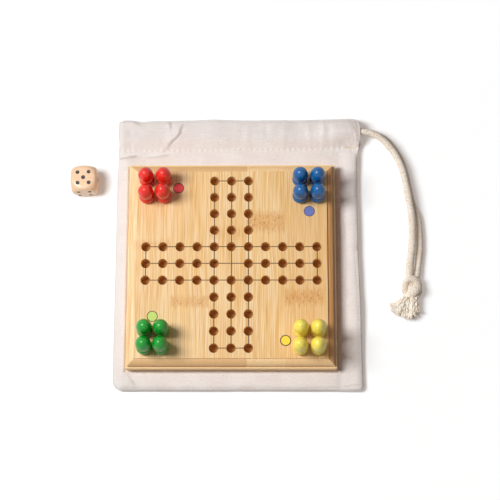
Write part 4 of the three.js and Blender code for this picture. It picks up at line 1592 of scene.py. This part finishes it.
def looseRoutes():
    draws = np.random.default_rng(seam["seed"])
    routes, thicknesses = [], []
    for _ in range(seam["looseThreads"]):
        start = np.array([draws.uniform(*ends) for ends in seam["looseStart"]])
        way = np.array([draws.uniform(*ends) for ends in seam["looseWay"]])
        curl = draws.normal(0, seam["looseCurl"], 3)
        length = draws.uniform(*seam["looseLength"])
        steps = np.linspace(0, 1, 7)
        route = [start + way * length * s + curl * sin(3 * s) * s for s in steps]
        routes.append([(p[0], p[1], max(p[2], seam["lowest"])) for p in route])
        thicknesses.append([1, 1, 1, 1, 0.9, 0.8, 0.5])
    return routes, thicknesses


route = seamRoute()
seamPiece = sweepYarns("edgeSeam", [route], [[1] * len(route)], seam["diameter"], 8, seamCotton)
routes, thicknesses = looseRoutes()
loosePiece = sweepYarns("looseThreads", routes, thicknesses, seam["looseDiameter"], 5, tasselCotton)
for piece in (seamPiece, loosePiece):
    dress(piece, "bag", "bag_cotton")
print("seam rolled")

# Stitches along the casing, with dark sunken marks of painted shade at the needle holes between them, and the
# close ones at its end
stitches = {
    "length": 2.7,
    "thickness": 0.52,
    "hole": 0.45,
    "first": -76,
    "last": 77,
    "tackFirst": 78,
    "tackLast": 85.6,
    "tackPitch": 0.85,
    "tackLength": 1.7,
    "tackThickness": 0.5,
    "tackTurn": 1.35,
    "lift": 0.04,
    "holeSink": 0.08,
    "unevenTurn": 0.16,
    "unevenLength": 0.15,
    "seed": 9,
}


def stitchTree(tree, given):
    ball = tree.geometry("MeshUVSphere", {"Segments": 8, "Rings": 6, "Radius": given["Radius"]})
    size = tree.shader("CombineXYZ", [given["Length"] / (given["Radius"] * 2), 1, 1])
    thread = tree.geometry("Transform", {"Geometry": ball, "Scale": size})

    def draw(low, high):
        values = {2: low, 3: high, 8: given["Seed"]}
        return tree.node("FunctionNodeRandomValue", {"data_type": "FLOAT"}, values, 1)

    turns = tree.join(0, 0, draw(-stitches["unevenTurn"], stitches["unevenTurn"]) + given["Turn"])
    sizes = tree.join(draw(1 - stitches["unevenLength"], 1 + stitches["unevenLength"]), 1, 1)
    values = {"Points": given["Geometry"], "Instance": thread, "Rotation": turns, "Scale": sizes}
    made = tree.geometry("InstanceOnPoints", values)
    made = tree.geometry("RealizeInstances", [made])
    made = tree.geometry("SetShadeSmooth", [made])
    return tree.geometry("SetMaterial", {"Geometry": made, "Material": given["Material"]})


def threadMaterial(name, light, dark):
    tree = newMaterial(name)
    place = objectPlace(tree)
    tint = tree.noise(place, 0.3, 2)
    colour = tree.blend(tint.ease(0.3, 0.7), light, dark)
    return finishMaterial(tree, colour, 0.7, tree.noise(place, 3, 2), 0.04)


def sewStitches(name, x, lift, length, thickness, turn, material):
    y = np.full_like(x, bag["stitchLine"])
    dx, dy = outlineShift(x, y)
    z = frontHeight(x, y) + bag["cloth"] / 2 + lift
    mesh = bpy.data.meshes.new(name)
    mesh.from_pydata([tuple(p) for p in np.stack([x + dx, y + dy, z], axis=1) * mm], [], [])
    values = {"Length": length * mm, "Radius": thickness / 2 * mm, "Turn": turn}
    values.update({"Seed": stitches["seed"], "Material": material})
    return dress(runGroup(addObject(name, mesh), "stitches", stitchTree, values), "bag", "bag_cotton")


paleThread = threadMaterial("sewingThread", shade(252, 246, 240), shade(244, 233, 222))
goldThread = threadMaterial("tackThread", shade(240, 226, 190), shade(222, 196, 146))
# painted shade: the dark colour of the needle holes
holeShadeThread = threadMaterial("needleHole", shade(190, 158, 130), shade(166, 132, 104))
alongCasing = np.arange(stitches["first"], stitches["last"], bag["stitchPitch"])
alongTack = np.arange(stitches["tackFirst"], stitches["tackLast"], stitches["tackPitch"])
betweenStitches = alongCasing + bag["stitchPitch"] / 2
lift, sink, hole = stitches["lift"], stitches["holeSink"], stitches["hole"]
long, thick = stitches["length"], stitches["thickness"]
tackLong, tackThick, tackTurn = stitches["tackLength"], stitches["tackThickness"], stitches["tackTurn"]
stitchPieces = [
    sewStitches("casingStitches", alongCasing, lift, long, thick, 0.0, paleThread),
    sewStitches("needleHoles", betweenStitches, -sink, hole, hole, 0.0, holeShadeThread),
    sewStitches("tackStitches", alongTack, lift, tackLong, tackThick, tackTurn, goldThread),
]
print("casing stitched")

# Cord inside the casing: from the strands' ends round the left end and back
casedRoute = [
    (80.5, 94.3, 9.4), (72, 93.7, 8.6), (64, 93, 7.1), (55, 92.4, 5.1), (45, 92.2, 4.1), (0, 92.2, 4),
    (-40, 92.2, 4), (-64, 92.4, 4), (-70.5, 93, 3.8), (-73, 95.3, 3.5), (-70.5, 98.1, 3),
    (-64, 99.4, 2.7), (0, 99.5, 2.7), (45, 99.5, 2.7), (60, 98.8, 2.9), (72, 97.4, 3.2), (80.5, 97, 3.3),
]
casedSettings = dict(rope, diameter=3.4, braidDepth=0.3, stepLength=1.2, sides=16)
casedCord, _, _ = ropeMesh("casedCord", casedRoute, casedSettings, 13)
casedCord.data.materials.append(cottonRope)
dress(casedCord, "bag", "cord_cotton", "drawstring_in_casing")
for strand, node in ((upperStrand, "drawstring_upper_strand"), (lowerStrand, "drawstring_lower_strand")):
    dress(strand, "bag", "cord_cotton", node)
for piece in knotPieces:
    dress(piece, "bag", "cord_cotton")
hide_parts("drawstring_knot")
dress(tasselPiece, "bag", "cord_cotton", "drawstring_tassel")
for piece in (strayPiece, corePiece):
    dress(piece, "bag", "cord_cotton")
print("bag dressed")

# Table, backdrop and light
studio = {
    "floorHalfM": 2.5,
    "floorLevelM": -0.00005,
    "floorShare": 0.92,
    "shadowShares": (0.87, 0.94, 0.98),
    "backdropLevel": 1.01,
    "skyStrength": 0.145,
    "skyColour": (1.12, 0.98, 0.88),
    "lampPlaceM": (-0.308, 0.016, 0.6),
    "lampSizeM": (0.44, 0.22),
    "lampTurnDegrees": 75,
    "lampWatts": 5.75,
}
half, level = studio["floorHalfM"] / mm, studio["floorLevelM"] / mm
floorCorners = [(sx * half, sy * half, level) for sx, sy in ((-1, -1), (1, -1), (1, 1), (-1, 1))]
floorPiece = addMesh("table", floorCorners, [(0, 1, 2, 3)])


def backgroundRays(tree):
    # 1 where the background shows: seen straight, mirrored or through something.
    rays = tree.node("ShaderNodeLightPath").socket.node.outputs
    kinds = [Wire(tree, rays[name]) for name in ("Is Camera Ray", "Is Glossy Ray", "Is Transmission Ray")]
    return kinds[0].most(kinds[1]).most(kinds[2])


def tableMaterial():
    # The lamp lights the table less the further off it is; the glow makes that up, so that only shadows show.
    tree = newMaterial("tableTop")
    x, y, _ = tree.node("ShaderNodeTexCoord", {}, (), "Object").split()
    lampX, lampY, height = studio["lampPlaceM"]
    turn = radians(studio["lampTurnDegrees"])
    dx, dy = x - lampX, y - lampY
    away = dx * dx + dy * dy + height**2
    strength = studio["lampWatts"] / pi**2 * height
    lit = (dx * sin(turn) + height * cos(turn)).most(0) * strength / (away * away)
    glow = []
    for share, tint in zip(studio["shadowShares"], studio["skyColour"]):
        glow.append((studio["backdropLevel"] - (lit + studio["skyStrength"] * tint) * share).most(0))
    matt = tree.shader("BsdfDiffuse", {"Color": wide((studio["floorShare"],) * 3)})
    shadowed = tree.shader("BsdfDiffuse", {"Color": wide(studio["shadowShares"])})
    glowing = tree.shader("Emission", {"Color": tree.shader("CombineColor", glow)})
    seen = tree.shader("AddShader", [shadowed, glowing])
    surface = tree.shader("MixShader", {0: backgroundRays(tree), 1: matt, 2: seen})
    tree.shader("OutputMaterial", {"Surface": surface})
    return tree.material


floorPiece.data.materials.append(tableMaterial())

lampData = bpy.data.lights.new("softLamp", "AREA")
lampData.shape = "ELLIPSE"
lampData.size, lampData.size_y = studio["lampSizeM"]
lampData.energy = studio["lampWatts"]
lamp = bpy.data.objects.new("softLamp", lampData)
bpy.context.scene.collection.objects.link(lamp)
lampTurn = Matrix.Rotation(-radians(studio["lampTurnDegrees"]), 4, "Y")
lamp.matrix_world = Matrix.Translation(studio["lampPlaceM"]) @ lampTurn
lamp.visible_camera = False

world = bpy.data.worlds.new("studio")
bpy.context.scene.world = world
world.use_nodes = True
world.node_tree.nodes.clear()
skyTree = Tree(world.node_tree)
skies = [(studio["skyColour"], studio["skyStrength"]), ((1, 1, 1), 1)]
dim, bright = [skyTree.shader("Background", {"Color": wide(c), "Strength": s}) for c, s in skies]
sky = skyTree.shader("MixShader", {0: backgroundRays(skyTree), 1: dim, 2: bright})
skyTree.shader("OutputWorld", {"Surface": sky})
bpy.context.scene.view_settings.view_transform = "Standard"
print("lights on")
